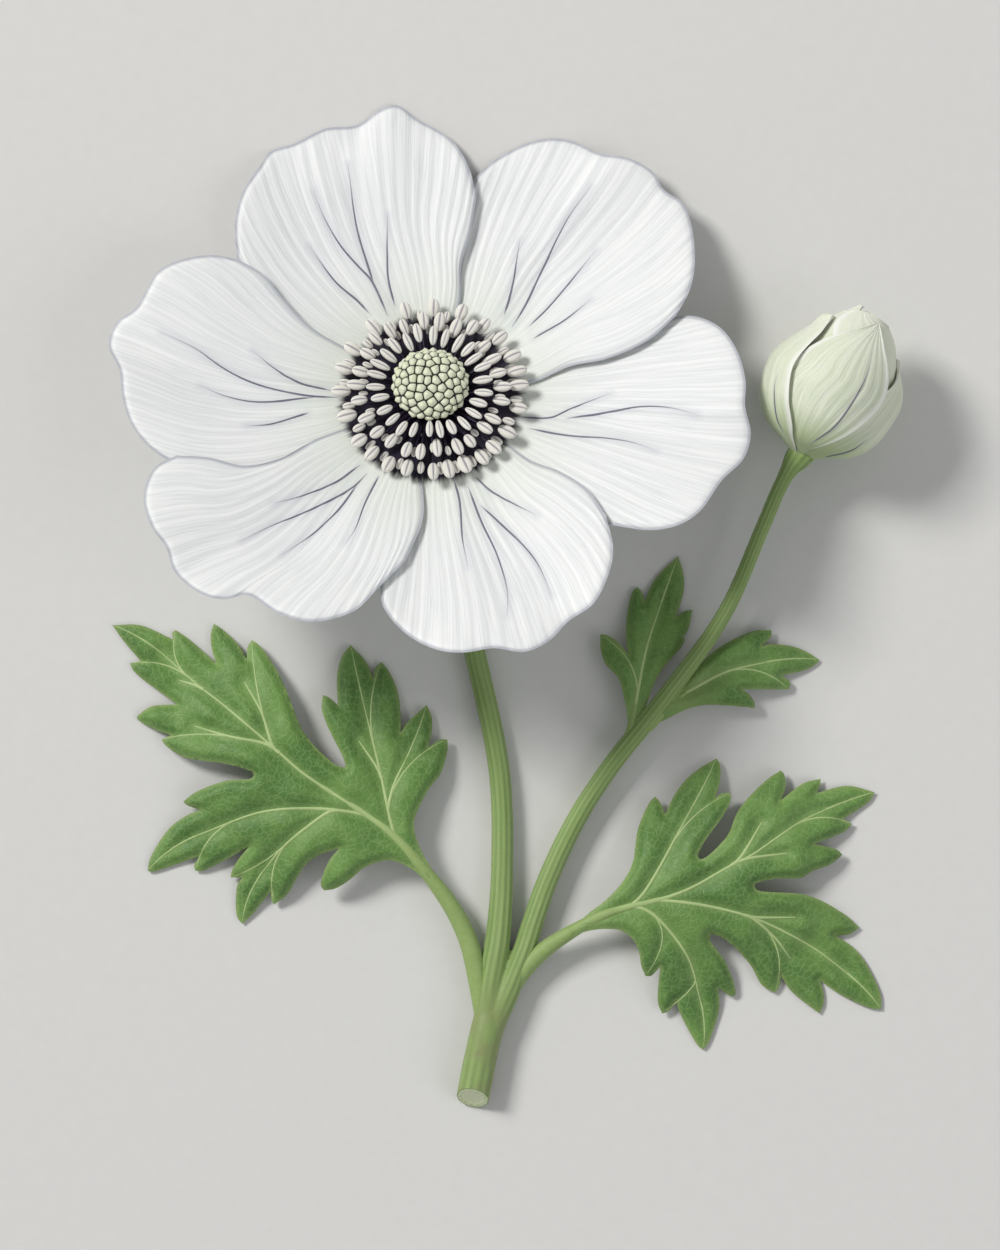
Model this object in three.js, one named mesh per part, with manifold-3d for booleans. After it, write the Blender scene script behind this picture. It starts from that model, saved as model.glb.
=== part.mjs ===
// A cut stem of garden anemone, lying on a surface: one open bloom with six petals and a dark
// ring of stamens, one closed bud, two deeply cut leaves and two small bract leaves.
//
// Millimetres, +Z up. The pieces are placed with X and Y measured from the point under the middle
// of the bloom, +Y running from the cut end towards the bloom, and Z from the surface. At the end
// the whole flower is moved so that its origin is the middle of its footprint.

import * as THREE from "three";
import { mergeVertices } from "three/addons/utils/BufferGeometryUtils.js";
import Module from "manifold-3d";

const wasm = await Module();
wasm.setup();

const { degToRad, lerp, smoothstep } = THREE.MathUtils;
const UP = new THREE.Vector3(0, 0, 1);

// ---------------------------------------------------------------- driving dimensions

const SEAT_GAP = 0.3; // between pieces that touch

const BLOOM_TILT = degToRad(23); // how far the open face leans towards +Y
const BLOOM_HEIGHT = 9.3; // middle of the bloom above the surface
const BLOOM_MIDDLE_Y = -1.4; // so that the raised ring of anthers is seen round X = Y = 0
const PETAL_THICKNESS = 0.5;
const PETAL_SEAT_RADIUS = 4.7; // where the petals leave the receptacle
const PETAL_SEAT_ANGLE = 48; // degrees of that circle which one petal takes up
const PETAL_CUP = 8.5; // how far the rim rises above the bloom's flat plane
const PETAL_CUP_RADIUS = 52; // where that rise is complete
const PETAL_LAP = 0.75; // how far a petal's edge stands over or under its middle
const PETAL_RUFFLE = 0.9; // waves of the rim, up and down

const STALK_RADIUS = 1.5; // of the bloom stalk
const STEM_RADIUS = 2.25; // of the lower stem
const CUT_SLANT = degToRad(31); // how far the cut face leans back from square

const RECEPTACLE_RADIUS = 4.3;
const RECEPTACLE_TOP = 3.6; // along the bloom's axis, from the petals' plane
const BOSS_RADIUS = 5.4;
const BOSS_TOP = 7.6;

const LEAF_THICKNESS = 0.5;
const LEAF_EDGE_HEIGHT = 0.3; // tips of a leaf above the surface

const BUD_LENGTH = 22.8;
const TEPAL_THICKNESS = 0.35;
const TEPAL_STEP = 0.68; // from one layer of the bud to the next

// ---------------------------------------------------------------- finishes

function finish(color, roughness) {
  return new THREE.MeshStandardMaterial({ color, roughness, metalness: 0 });
}

const PETAL_WHITE = finish("#f3f1ea", 0.6);
const STEM_GREEN = finish("#7f9a58", 0.55);
const LEAF_GREEN = finish("#4f7a3c", 0.6);
const ANTHER_PALE = finish("#d9d6cf", 0.7);
const BOSS_PALE = finish("#c8cbb0", 0.6);
const BUD_WHITE = finish("#e3e8d4", 0.6);

// ---------------------------------------------------------------- making solids

function geometryOf(points, faces) {
  const geometry = new THREE.BufferGeometry().setFromPoints(points);
  geometry.setIndex(faces.flat());
  return geometry;
}

function solidOf(geometry) {
  const merged = mergeVertices(geometry.clone().deleteAttribute("normal").deleteAttribute("uv"), 1e-4);
  return new wasm.Manifold(
    new wasm.Mesh({
      numProp: 3,
      vertProperties: merged.attributes.position.array,
      triVerts: new Uint32Array(merged.index.array),
    }),
  );
}

function geometryFrom(solid) {
  const { vertProperties, triVerts } = solid.getMesh();
  const geometry = new THREE.BufferGeometry();
  geometry.setAttribute("position", new THREE.BufferAttribute(vertProperties, 3));
  geometry.setIndex(new THREE.BufferAttribute(triVerts, 1));
  return geometry;
}

function joined(geometries) {
  return geometries.map(solidOf).reduce((whole, piece) => whole.add(piece));
}

// A smooth curve through points given as [x, y] or [x, y, z].
function curveThrough(points) {
  const places = points.map(([x, y, z = 0]) => new THREE.Vector3(x, y, z));
  return new THREE.CatmullRomCurve3(places, false, "centripetal");
}

// A smooth function through [x, value] pairs.
function smoothTable(pairs) {
  const places = pairs.map(([x]) => x);
  const values = pairs.map(([, value]) => value);
  const curve = new THREE.CubicInterpolant(places, values, 1, [0]);
  return (x) => curve.evaluate(x)[0];
}

// A thin closed sheet between an upper and a lower grid of points. Each grid is a function of
// (across, along), both from 0 to 1. Seen from the upper side, `across` runs to the left of `along`.
function sheetSolid(columns, rows, upper, lower) {
  const points = [];
  for (const place of [upper, lower]) {
    for (let row = 0; row <= rows; row += 1) {
      for (let column = 0; column <= columns; column += 1) {
        points.push(place(column / columns, row / rows));
      }
    }
  }
  const below = points.length / 2;
  const at = (column, row) => row * (columns + 1) + column;
  const faces = [];
  for (let row = 0; row < rows; row += 1) {
    for (let column = 0; column < columns; column += 1) {
      const [a, b] = [at(column, row), at(column + 1, row)];
      const [d, c] = [at(column, row + 1), at(column + 1, row + 1)];
      faces.push([a, d, c], [a, c, b]);
      faces.push([a + below, c + below, d + below], [a + below, b + below, c + below]);
    }
  }
  const rim = [];
  for (let column = 0; column < columns; column += 1) rim.push(at(column, 0));
  for (let row = 0; row < rows; row += 1) rim.push(at(columns, row));
  for (let column = columns; column > 0; column -= 1) rim.push(at(column, rows));
  for (let row = rows; row > 0; row -= 1) rim.push(at(0, row));
  rim.forEach((p, i) => {
    const q = rim[(i + 1) % rim.length];
    faces.push([p, q, q + below], [p, q + below, p + below]);
  });
  return geometryOf(points, faces);
}

// A closed round solid along a curve. A station is [how far along the curve, radius there].
function roundSolid(curve, stations, sides, upright = UP) {
  const points = [];
  for (const [along, radius] of stations) {
    const centre = curve.getPointAt(along);
    const heading = curve.getTangentAt(along);
    const sideways = upright.clone().cross(heading).normalize();
    const lift = heading.clone().cross(sideways);
    for (let side = 0; side < sides; side += 1) {
      const turn = (2 * Math.PI * side) / sides;
      const spoke = sideways.clone().multiplyScalar(Math.cos(turn)).addScaledVector(lift, Math.sin(turn));
      points.push(centre.clone().addScaledVector(spoke, radius));
    }
  }
  const firstCentre = points.push(curve.getPointAt(stations[0][0])) - 1;
  const lastCentre = points.push(curve.getPointAt(stations.at(-1)[0])) - 1;
  const lastRing = (stations.length - 1) * sides;
  const faces = [];
  for (let side = 0; side < sides; side += 1) {
    const next = (side + 1) % sides;
    faces.push([firstCentre, next, side], [lastCentre, lastRing + side, lastRing + next]);
    for (let ring = 0; ring < lastRing; ring += sides) {
      const [a, b] = [ring + side, ring + next];
      faces.push([a, b, b + sides], [a, b + sides, a + sides]);
    }
  }
  return geometryOf(points, faces);
}

// Stations evenly spread along a tube whose radius goes smoothly through a few values.
function taper(radii, count) {
  const radiusAt = smoothTable(radii.map((radius, i) => [i / (radii.length - 1), radius]));
  return Array.from({ length: count + 1 }, (_, i) => [i / count, radiusAt(i / count)]);
}

// ---------------------------------------------------------------- the bloom's own frame

// A point on the axis of the bloom, `height` above the plane that the petals leave from.
function onBloomAxis(height) {
  const rise = new THREE.Vector3(0, Math.sin(BLOOM_TILT), Math.cos(BLOOM_TILT)).multiplyScalar(height);
  return rise.add(new THREE.Vector3(0, BLOOM_MIDDLE_Y, BLOOM_HEIGHT));
}

// Where a point of the plan lies in the bloom's own plane, as a radius and an angle.
function inBloomPlane(x, y) {
  const along = (y - BLOOM_MIDDLE_Y) / Math.cos(BLOOM_TILT);
  return { radius: Math.hypot(x, along), angle: Math.atan2(along, x) };
}

// The height of the open bloom over a point of the surface, the same for all six petals: a tilted
// plane, cupped towards its rim and ruffled there.
function bloomHeightAt(x, y) {
  const { radius, angle } = inBloomPlane(x, y);
  const plane = BLOOM_HEIGHT - (y - BLOOM_MIDDLE_Y) * Math.tan(BLOOM_TILT);
  const cup = PETAL_CUP * smoothstep(radius, PETAL_SEAT_RADIUS, PETAL_CUP_RADIUS);
  const waves = Math.sin(9 * angle) + 0.6 * Math.sin(14 * angle + 2);
  return plane + cup + PETAL_RUFFLE * waves * (radius / PETAL_CUP_RADIUS) ** 4;
}

// ---------------------------------------------------------------- petals

// Each outline is seen from above. The first side is the clockwise one, and both sides run outwards
// from the receptacle. `laps` says whether each side lies over (1) or under (-1) its neighbour.
const PETALS = [
  {
    name: "petal_top_right",
    facing: 47,
    laps: [1, -1],
    firstSide: [[13.9, 0.7], [19.7, 3.1], [25, 4.2], [30.8, 6.8]],
    rim: [
      [34.6, 10.2], [36.6, 14], [37.3, 18], [36.8, 23.5], [35.6, 26.4], [33, 28.3], [31.5, 30.8],
      [28, 32.8], [24, 33.5], [20.4, 35.2], [17.3, 35.7], [13.6, 35], [10.5, 33.5], [8, 31.8],
      [4.8, 28.4],
    ],
    secondSide: [[1.7, 11], [1.6, 17], [2.6, 23]],
  },
  {
    name: "petal_top_left",
    facing: 112,
    laps: [1, -1],
    firstSide: [[4, 11.8], [4.3, 17.5], [5.6, 22]],
    rim: [
      [6.4, 27], [5.5, 31.2], [3, 35.4], [-2, 38.5], [-4.8, 40.4], [-7.2, 39.8], [-10.5, 37.6],
      [-15, 37.1], [-19.3, 35], [-22.8, 33.8], [-24.3, 31.6], [-26.7, 27.8], [-27.7, 23.5],
      [-27.4, 18.6],
    ],
    secondSide: [[-8.6, 5.6], [-15, 7.2], [-21, 10.5], [-25.3, 14.4]],
  },
  {
    name: "petal_left",
    facing: 170,
    laps: [1, -1],
    firstSide: [[-11.8, 5.7], [-16.9, 8.7], [-20.7, 12.6], [-23.7, 16.2]],
    rim: [
      [-27.2, 18.3], [-31, 18.9], [-35.8, 18], [-38.6, 16.4], [-40, 14.1], [-41.5, 11.4], [-44.3, 9.2],
      [-45.3, 6], [-43.7, 2.5], [-43.2, -1.5], [-41.9, -5.3], [-39.3, -8.5], [-35, -11.4],
    ],
    secondSide: [[-9.3, -6.2], [-14, -9.3], [-21, -12.4], [-28.5, -13.4]],
  },
  {
    name: "petal_bottom_left",
    facing: 225,
    laps: [1, 1],
    firstSide: [[-12.1, -5.7], [-16, -7.2], [-20.6, -9.8], [-26, -11], [-31, -9.9]],
    rim: [
      [-35.5, -9.6], [-38.6, -11.4], [-40, -15.5], [-38.8, -19.7], [-36.8, -22.5], [-35.6, -25.9],
      [-32.1, -28.9], [-28.7, -29.8], [-25.4, -29.2], [-21.2, -31.7], [-16.5, -32.9], [-10.5, -31.4],
      [-7, -28], [-3.4, -24.4],
    ],
    secondSide: [[-1.2, -12.5], [-1, -18.4]],
  },
  {
    name: "petal_bottom",
    facing: 289,
    laps: [-1, 1],
    firstSide: [[-2.8, -10.5], [-4.3, -15], [-5.6, -20.5]],
    rim: [
      [-7, -27], [-6.5, -30.8], [-3.3, -34.6], [1, -36.8], [4.7, -37.2], [9, -36.6], [13.2, -37.1],
      [16.6, -35.6], [19.4, -32.8], [22.8, -30.4], [25, -26.1], [25.6, -22.6], [24.6, -18],
    ],
    secondSide: [[10.1, -7.4], [14.1, -10.2], [18.2, -11.8], [22, -14.3]],
  },
  {
    name: "petal_right",
    facing: 349,
    laps: [-1, -1],
    firstSide: [[8, -7.4], [12, -10.4], [16.5, -13.8], [21, -17]],
    rim: [
      [25.4, -19.4], [31, -20.1], [35, -19.3], [37.8, -17.4], [40.9, -13.1], [44, -10], [45, -6.6],
      [44.2, -2.6], [44.3, 1], [43, 5.6], [40.6, 8.7], [37, 10.2], [32.5, 9.8],
    ],
    secondSide: [[10, 2.6], [14, 4.2], [20, 6.2], [26, 8]],
  },
];

function petalSeat({ facing }, across) {
  const angle = degToRad(facing + PETAL_SEAT_ANGLE * (across - 0.5));
  const along = PETAL_SEAT_RADIUS * Math.sin(angle) * Math.cos(BLOOM_TILT);
  return [PETAL_SEAT_RADIUS * Math.cos(angle), BLOOM_MIDDLE_Y + along];
}

// Fills a petal's outline: `across` runs from its first side to its second, `out` from its seat to
// its rim, so that lines of equal `across` run as the petal's veins do.
function petalPlan(petal) {
  const { firstSide, rim, secondSide } = petal;
  const seat = curveThrough([0, 0.5, 1].map((across) => petalSeat(petal, across)));
  const first = curveThrough([petalSeat(petal, 0), ...firstSide, rim[0]]);
  const outer = curveThrough(rim);
  const second = curveThrough([petalSeat(petal, 1), ...secondSide, rim.at(-1)]);
  return (across, out) => {
    const seatPoint = seat.getPointAt(across);
    const outerPoint = outer.getPointAt(across);
    const between = first.getPointAt(out).lerp(second.getPointAt(out), across);
    const seatChord = seat.getPointAt(0).lerp(seat.getPointAt(1), across);
    const outerChord = outer.getPointAt(0).lerp(outer.getPointAt(1), across);
    return between
      .addScaledVector(seatPoint.sub(seatChord), 1 - out)
      .addScaledVector(outerPoint.sub(outerChord), out);
  };
}

function petalGeometry(petal) {
  const plan = petalPlan(petal);
  const surface = (side) => (across, out) => {
    const point = plan(across, out);
    const { radius } = inBloomPlane(point.x, point.y);
    const firstLap = petal.laps[0] * smoothstep(1 - across, 0.5, 0.86);
    const lap = firstLap + petal.laps[1] * smoothstep(across, 0.5, 0.86);
    point.z = bloomHeightAt(point.x, point.y) + PETAL_LAP * lap * smoothstep(radius, 5, 10);
    point.z += (side * PETAL_THICKNESS) / 2;
    return point;
  };
  return sheetSolid(16, 7, surface(1), surface(-1));
}

// ---------------------------------------------------------------- stem

const LOWER_STEM = [[5.3, -103.5], [6.6, -97], [8, -90.5], [9.4, -82.5]].map(([x, y]) => [x, y, STEM_RADIUS]);
const BLOOM_STALK = [
  [8.4, -88, 2.2], [9.2, -79, 2], [10.1, -68, 1.65], [9.7, -54, STALK_RADIUS], [6.3, -37.5, STALK_RADIUS],
  [3.2, -24, STALK_RADIUS], [1, -13, 1.6], [0.4, -7.1, 2.5], [0.1, -4, 4.4],
];
const BUD_STALK = [
  [9, -88.5, 2.2], [12.6, -81, 2.2], [14.3, -76, 2], [16.7, -69.2, 1.9], [20.6, -61, 2],
  [25.3, -53.7, 2.4], [33.5, -43.2, 3.6], [41.5, -31.7, 5.3], [47.2, -19.5, 7], [52.3, -9.3, 8.3],
];
const RECEPTACLE_PROFILE = [
  [-3.4, 1.5], [-2.4, 1.9], [-1.2, 3.6], [-0.3, 4.2], [0.8, RECEPTACLE_RADIUS], [RECEPTACLE_TOP, 3.9],
];

// Radii at even steps along each of the three.
const LOWER_STEM_RADII = [STEM_RADIUS, STEM_RADIUS, 2.4];
const BLOOM_STALK_RADII = [1.7, STALK_RADIUS, STALK_RADIUS];
const BUD_STALK_RADII = [2, 1.6, 1.45, 1.3, 1.2, 1.15, 1.15, 1.3, 1.8];

// A round solid on the bloom's axis, from pairs of height and radius.
function turnedOnBloomAxis(profile, sides) {
  const [low, high] = [profile[0][0], profile.at(-1)[0]];
  const axis = new THREE.LineCurve3(onBloomAxis(low), onBloomAxis(high));
  const stations = profile.map(([height, radius]) => [(height - low) / (high - low), radius]);
  return roundSolid(axis, stations, sides);
}

// The whole branched stem as one solid. `extra` makes it thicker all round.
function stemSolid(extra = 0) {
  const thicker = (stations) => stations.map(([along, radius]) => [along, radius + extra]);
  const neck = onBloomAxis(RECEPTACLE_PROFILE[1][0]);
  const bloomStalk = curveThrough([...BLOOM_STALK, neck.toArray()]);
  return joined([
    roundSolid(curveThrough(LOWER_STEM), thicker(taper(LOWER_STEM_RADII, 4)), 12),
    roundSolid(bloomStalk, thicker(taper(BLOOM_STALK_RADII, 22)), 10),
    roundSolid(curveThrough(BUD_STALK), thicker(taper(BUD_STALK_RADII, 24)), 10),
    turnedOnBloomAxis(RECEPTACLE_PROFILE, 16),
  ]);
}

// The block that lies beyond the slanting cut at the foot of the stem.
function beyondCut() {
  const block = new THREE.BoxGeometry(20, 10, 20).translate(0, -5, 0);
  block.rotateX(-CUT_SLANT).rotateZ(degToRad(-13)).translate(5.9, -100.4, STEM_RADIUS);
  return solidOf(block);
}

function stemGeometry() {
  return geometryFrom(stemSolid().subtract(beyondCut()));
}

// ---------------------------------------------------------------- boss and stamens

const BOSS_PROFILE = [
  [RECEPTACLE_TOP + SEAT_GAP, 3.4], [4.1, 4.9], [4.7, BOSS_RADIUS], [5.5, 5.1], [6.4, 4.2], [7.2, 2.6],
  [BOSS_TOP, 0.9],
];

// Feet, bends and tips are pairs of radius and height above the petals' plane, and an anther is a
// pair of radius and length.
const STAMEN_RINGS = {
  outer: { sides: 6, foot: [4.75, 1.35], bend: [9, 2.4], tip: [14, 3.1], anther: [0.85, 2.7] },
  middle: { count: 26, sides: 5, foot: [4.9, 2.2], bend: [7.5, 3.6], tip: [11.3, 4.1], anther: [0.7, 2.6] },
  inner: { count: 26, sides: 5, foot: [4.9, 3.05], bend: [6, 4.4], tip: [8.7, 5.1], anther: [0.5, 2.4] },
};
const FILAMENT_RADIUS = 0.25;

// Degrees round the bloom's axis at which the outer ring's large stamens stand, uneven as they grew.
const OUTER_STAMENS = [
  3, 13, 24, 39, 53, 70, 88, 106, 130, 150, 165, 181,
  199, 218, 230, 243, 255, 272, 282, 293, 305, 315, 329, 347,
];

// One stamen in the plane of X and Z: a thin filament that swells into its anther.
function stamenGeometry({ sides, foot, bend, tip, anther: [antherRadius, antherLength] }) {
  const curve = new THREE.QuadraticBezierCurve3(
    new THREE.Vector3(foot[0], 0, foot[1]),
    new THREE.Vector3(bend[0], 0, bend[1]),
    new THREE.Vector3(tip[0], 0, tip[1]),
  );
  const start = 1 - antherLength / curve.getLength();
  const stations = [
    [0, FILAMENT_RADIUS],
    [start, FILAMENT_RADIUS],
    [lerp(start, 1, 0.3), antherRadius * 0.85],
    [lerp(start, 1, 0.65), antherRadius],
    [1, antherRadius * 0.35],
  ];
  return roundSolid(curve, stations, sides, new THREE.Vector3(0, 1, 0));
}

// A whole ring of stamens, joined at their feet by the narrow band that they grow from.
function whorlGeometry(ring) {
  const [radius, height] = ring.foot;
  const [inside, outside, half] = [radius - 0.3, radius + 0.25, 0.2];
  const section = [[inside, -half], [outside, -half], [outside, half], [inside, half], [inside, -half]];
  const band = new THREE.LatheGeometry(section.map(([r, z]) => new THREE.Vector2(r, z)), ring.count);
  band.rotateX(Math.PI / 2).translate(0, 0, height);
  const turned = Array.from({ length: ring.count }, (_, i) =>
    stamenGeometry(ring).rotateZ((2 * Math.PI * i) / ring.count),
  );
  return geometryFrom(joined([band, ...turned]));
}

// ---------------------------------------------------------------- leaves

// The tips and notches of each blade, seen from above, from one side of the petiole round to the other.
const LEFT_LEAF = {
  name: "leaf_left",
  spine: [[-2, -66.5], [-22, -52]],
  reach: 22,
  arch: 4,
  petiole: [
    [6.9, -86, 2.3], [6.1, -80, 2.4], [4.4, -76.3, 2.6], [2.3, -72.3, 2.9], [-0.2, -68.8, 3.3],
    [-4.3, -64, 3.9], [-13, -57.7, 4],
  ],
  petioleRadii: [1.5, 1.3, 1.2, 1, 0.7],
  outline: [
    [-0.7, -66.4], [-2.3, -61], [-0.4, -56.8], [2.1, -52.4], [2.3, -49.6], [1.4, -49.5], [-0.4, -50.7],
    [0.2, -47.5], [-0.6, -44.7], [-2.1, -45.8], [-4.3, -48.7], [-4.6, -43.5], [-7, -38.6],
    [-8.2, -40.9], [-9.5, -38.3], [-11.4, -36.2], [-12.8, -38.6], [-13.2, -44.7], [-15.3, -43.3],
    [-15, -47], [-11.9, -53.7], [-15.9, -51], [-19.2, -46], [-22.3, -39], [-25.4, -35.5],
    [-26.1, -38.2], [-28, -35.3], [-30.8, -33.2], [-30.5, -38.8], [-33.2, -36.3], [-36.2, -34.1],
    [-36.6, -35.4], [-40.5, -33.6], [-45.2, -33.4], [-43.5, -35.8], [-41.2, -38.5], [-42.7, -38.8],
    [-40.3, -41.6], [-36.1, -44.6], [-39.5, -44.9], [-41.7, -46.5], [-36.9, -49], [-38.2, -49.6],
    [-35, -52.1], [-28.7, -53.1], [-24.6, -54.8], [-31.5, -56.1], [-35.1, -58.4], [-32.7, -59.6],
    [-37.1, -62.2], [-40.2, -68.3], [-36.8, -67.7], [-32.9, -66.2], [-33.4, -68.3], [-29.7, -66.9],
    [-25.8, -64.8], [-28.4, -69.2], [-26.8, -69.2], [-27.8, -72.6], [-26.8, -75.8], [-22.7, -71.1],
    [-22.2, -73], [-19.2, -69.4], [-16.6, -66.4], [-13, -65], [-15.3, -68.7], [-15.1, -71],
    [-11.4, -69.4], [-7.5, -66.9], [-4, -67.2], [-1.9, -68.4],
  ],
};

const RIGHT_LEAF = {
  name: "leaf_right",
  spine: [[22.5, -75.3], [44, -68]],
  reach: 20,
  arch: 4,
  petiole: [
    [12.3, -84.4, 2.3], [14.5, -81, 2.4], [17.6, -78.4, 2.7], [21.7, -75.8, 3.2], [27.4, -73.4, 3.8],
    [38, -70.1, 4],
  ],
  petioleRadii: [1.4, 1.1, 1, 1, 0.65],
  outline: [
    [21.5, -74.7], [25, -72], [27.1, -69.7], [29.1, -64.5], [31.8, -57.7], [33.2, -60.2],
    [36.1, -55.4], [40.5, -52.3], [41, -55.4], [40.3, -57.9], [42.5, -57.2], [41.6, -60.1],
    [37.8, -66.6], [41.9, -63.3], [45, -57.9], [49.6, -54], [50.3, -56.2], [49.6, -58.2],
    [55.3, -55.2], [54.7, -57.2], [59.1, -56.2], [63, -57.1], [58.5, -60.9], [59.8, -61.6],
    [57.1, -63.5], [54.4, -64.4], [58.4, -66], [54, -68.3], [49.5, -69.3], [45.4, -70.6],
    [53.5, -71.7], [60.8, -76.3], [57.5, -77.5], [62.2, -82.2], [63.9, -87.9], [58.1, -85.8],
    [55.2, -83.8], [55.1, -88.5], [49.7, -83.2], [48.8, -85.6], [45.3, -81.6], [42.6, -78.5],
    [39.2, -77.1], [42.4, -82.4], [42.6, -86.1], [40.8, -84.9], [40.6, -89], [38.6, -93.6],
    [34.8, -86.7], [32.8, -88.5], [32.5, -81.8], [30.4, -83.1], [29, -78.4], [27.1, -76.7],
    [24.4, -76.4], [21.9, -77],
  ],
};

const LEFT_BRACT = {
  name: "bract_left",
  spine: [[29, -48], [29.7, -42]],
  reach: 16,
  arch: 2.8,
  petiole: [[28.9, -47, 2.8], [29.6, -42, 2.9], [31.3, -34.5, 2]],
  petioleRadii: [0.7, 0.55, 0.35],
  outline: [
    [28.4, -49], [27.3, -48], [27.6, -43.4], [24.2, -37.4], [24, -34.7], [28, -37.5], [27.6, -33],
    [29.3, -28], [30.4, -30], [32.2, -26.4], [35.1, -23.6], [35.9, -27.6], [34.8, -32.2], [37.1, -31.2],
    [35.9, -35.4], [31.8, -41.3], [30.6, -44.6], [30.5, -46.2],
  ],
};

const RIGHT_BRACT = {
  name: "bract_right",
  spine: [[34, -45], [39, -41.3]],
  reach: 16,
  arch: 3,
  petiole: [[34.4, -44.3, 3.2], [38.5, -41.6, 3], [45, -39.1, 2]],
  petioleRadii: [0.7, 0.55, 0.35],
  outline: [
    [38.1, -39], [41.2, -36.3], [43.7, -34.9], [48.3, -34.1], [46.9, -36.4], [50.5, -36.3], [55.1, -38.5],
    [49.8, -40.5], [50.8, -42.5], [44.2, -42.6], [45.9, -45.1], [40, -44.6], [35.2, -46], [30.9, -49],
  ],
};

// A blade lies like a low tent: it stands up along its spine and its tips come down to the surface.
function leafHeightAt({ spine, reach, arch }, x, y) {
  const [start, end] = spine.map(([sx, sy]) => new THREE.Vector3(sx, sy, 0));
  const point = new THREE.Vector3(x, y, 0);
  const nearest = new THREE.Line3(start, end).closestPointToPoint(point, true, new THREE.Vector3());
  return LEAF_EDGE_HEIGHT + arch * (1 - smoothstep(nearest.distanceTo(point), 0.1 * reach, reach));
}

function bladeGeometry(leaf) {
  const contour = leaf.outline.map(([x, y]) => new THREE.Vector2(x, y));
  if (THREE.ShapeUtils.isClockWise(contour)) contour.reverse();
  const points = [LEAF_THICKNESS / 2, -LEAF_THICKNESS / 2].flatMap((offset) =>
    contour.map(({ x, y }) => new THREE.Vector3(x, y, leafHeightAt(leaf, x, y) + offset)),
  );
  const below = contour.length;
  const faces = [];
  for (const [a, b, c] of THREE.ShapeUtils.triangulateShape(contour, [])) {
    faces.push([a, b, c], [a + below, c + below, b + below]);
  }
  for (let p = 0; p < below; p += 1) {
    const q = (p + 1) % below;
    faces.push([q, p, p + below], [q, p + below, q + below]);
  }
  return geometryOf(points, faces);
}

// Blade and petiole in one piece, cut clear of the stem that they grow from.
function leafGeometry(leaf, stemRoom) {
  const petiole = roundSolid(curveThrough(leaf.petiole), taper(leaf.petioleRadii, 8), 8);
  return geometryFrom(joined([bladeGeometry(leaf), petiole]).subtract(stemRoom));
}

// ---------------------------------------------------------------- bud

const BUD_FOOT = new THREE.Vector3(52.3, -9.4, 8.3);
const BUD_POINT = new THREE.Vector3(61.6, 11.4, 10);

// Against how far along the bud it is: the radius of its innermost layer, the distance from there
// to the next layer, and how far the bud's middle line bends to its right.
const budRadiusAt = smoothTable([
  [0, 0.9], [0.05, 2.6], [0.1, 4.45], [0.16, 5.75], [0.225, 6.65], [0.3, 7.3], [0.43, 7.7], [0.5, 7.7],
  [0.58, 7.3], [0.65, 6.65], [0.75, 5.45], [0.84, 4.4], [0.89, 3.6], [0.93, 2.75], [0.975, 1.7],
  [1, 1.1],
]);
const layerStepAt = smoothTable([[0, 0.6], [0.15, 0.65], [0.3, TEPAL_STEP], [1, TEPAL_STEP]]);
const budLeanAt = smoothTable([[0, 0], [0.3, 0], [0.5, 0.2], [0.65, 0.48], [0.85, 0.6], [1, 0.65]]);

// `edges` are rows of how far along the bud, and where the tepal's two edges are there, as degrees
// round the bud's middle line from straight up, towards +X. `layers` gives, for each edge, the layer
// that it lies in over the lower half of the bud, and at its tip.
const TEPALS = [
  {
    name: "tepal_left",
    edges: [[0.02, -140, -24], [0.15, -150, -22], [0.3, -155, -31], [0.46, -155, -39], [0.62, -148, -43],
      [0.75, -125, -46], [0.83, -98, -52], [0.875, -72, -60]],
    layers: [[3, 3], [3, 2.4]],
  },
  {
    name: "tepal_front",
    edges: [[0.04, -22, 6], [0.13, -38, 22], [0.26, -47, 36], [0.42, -52, 49], [0.57, -44, 56],
      [0.65, -43, 58], [0.75, -33, 52], [0.83, -17, 43], [0.9, 4, 34], [0.945, 22, 28]],
    layers: [[2, 2], [2, 2.6]],
  },
  {
    name: "tepal_right",
    edges: [[0.02, 0, 150], [0.13, 8, 150], [0.26, 22, 150], [0.42, 38, 148], [0.57, 53, 140],
      [0.67, 68, 125], [0.74, 79, 110], [0.785, 88, 97]],
    layers: [[0.8, 3], [3, 3]],
  },
  {
    name: "tepal_back",
    edges: [[0.02, 140, 220], [0.3, 130, 230], [0.5, 138, 233], [0.65, 157, 232], [0.82, 164, 222],
      [0.93, 168, 208], [0.99, 176, 192]],
    layers: [[2, 2], [2, 2]],
  },
  {
    name: "tepal_back_right",
    edges: [[0.02, 40, 120], [0.3, 34, 155], [0.5, 31, 156], [0.65, 30, 144], [0.82, 32, 136], [0.9, 38, 120],
      [0.955, 56, 88]],
    layers: [[0, 1.6], [0, 1.6]],
  },
  {
    name: "tepal_back_left",
    edges: [[0.02, -130, -30], [0.3, -145, -16], [0.6, -142, -14], [0.84, -125, -23], [0.94, -105, -30],
      [1, -78, -48]],
    layers: [[1, 0.8], [1, 0.8]],
  },
];

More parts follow.
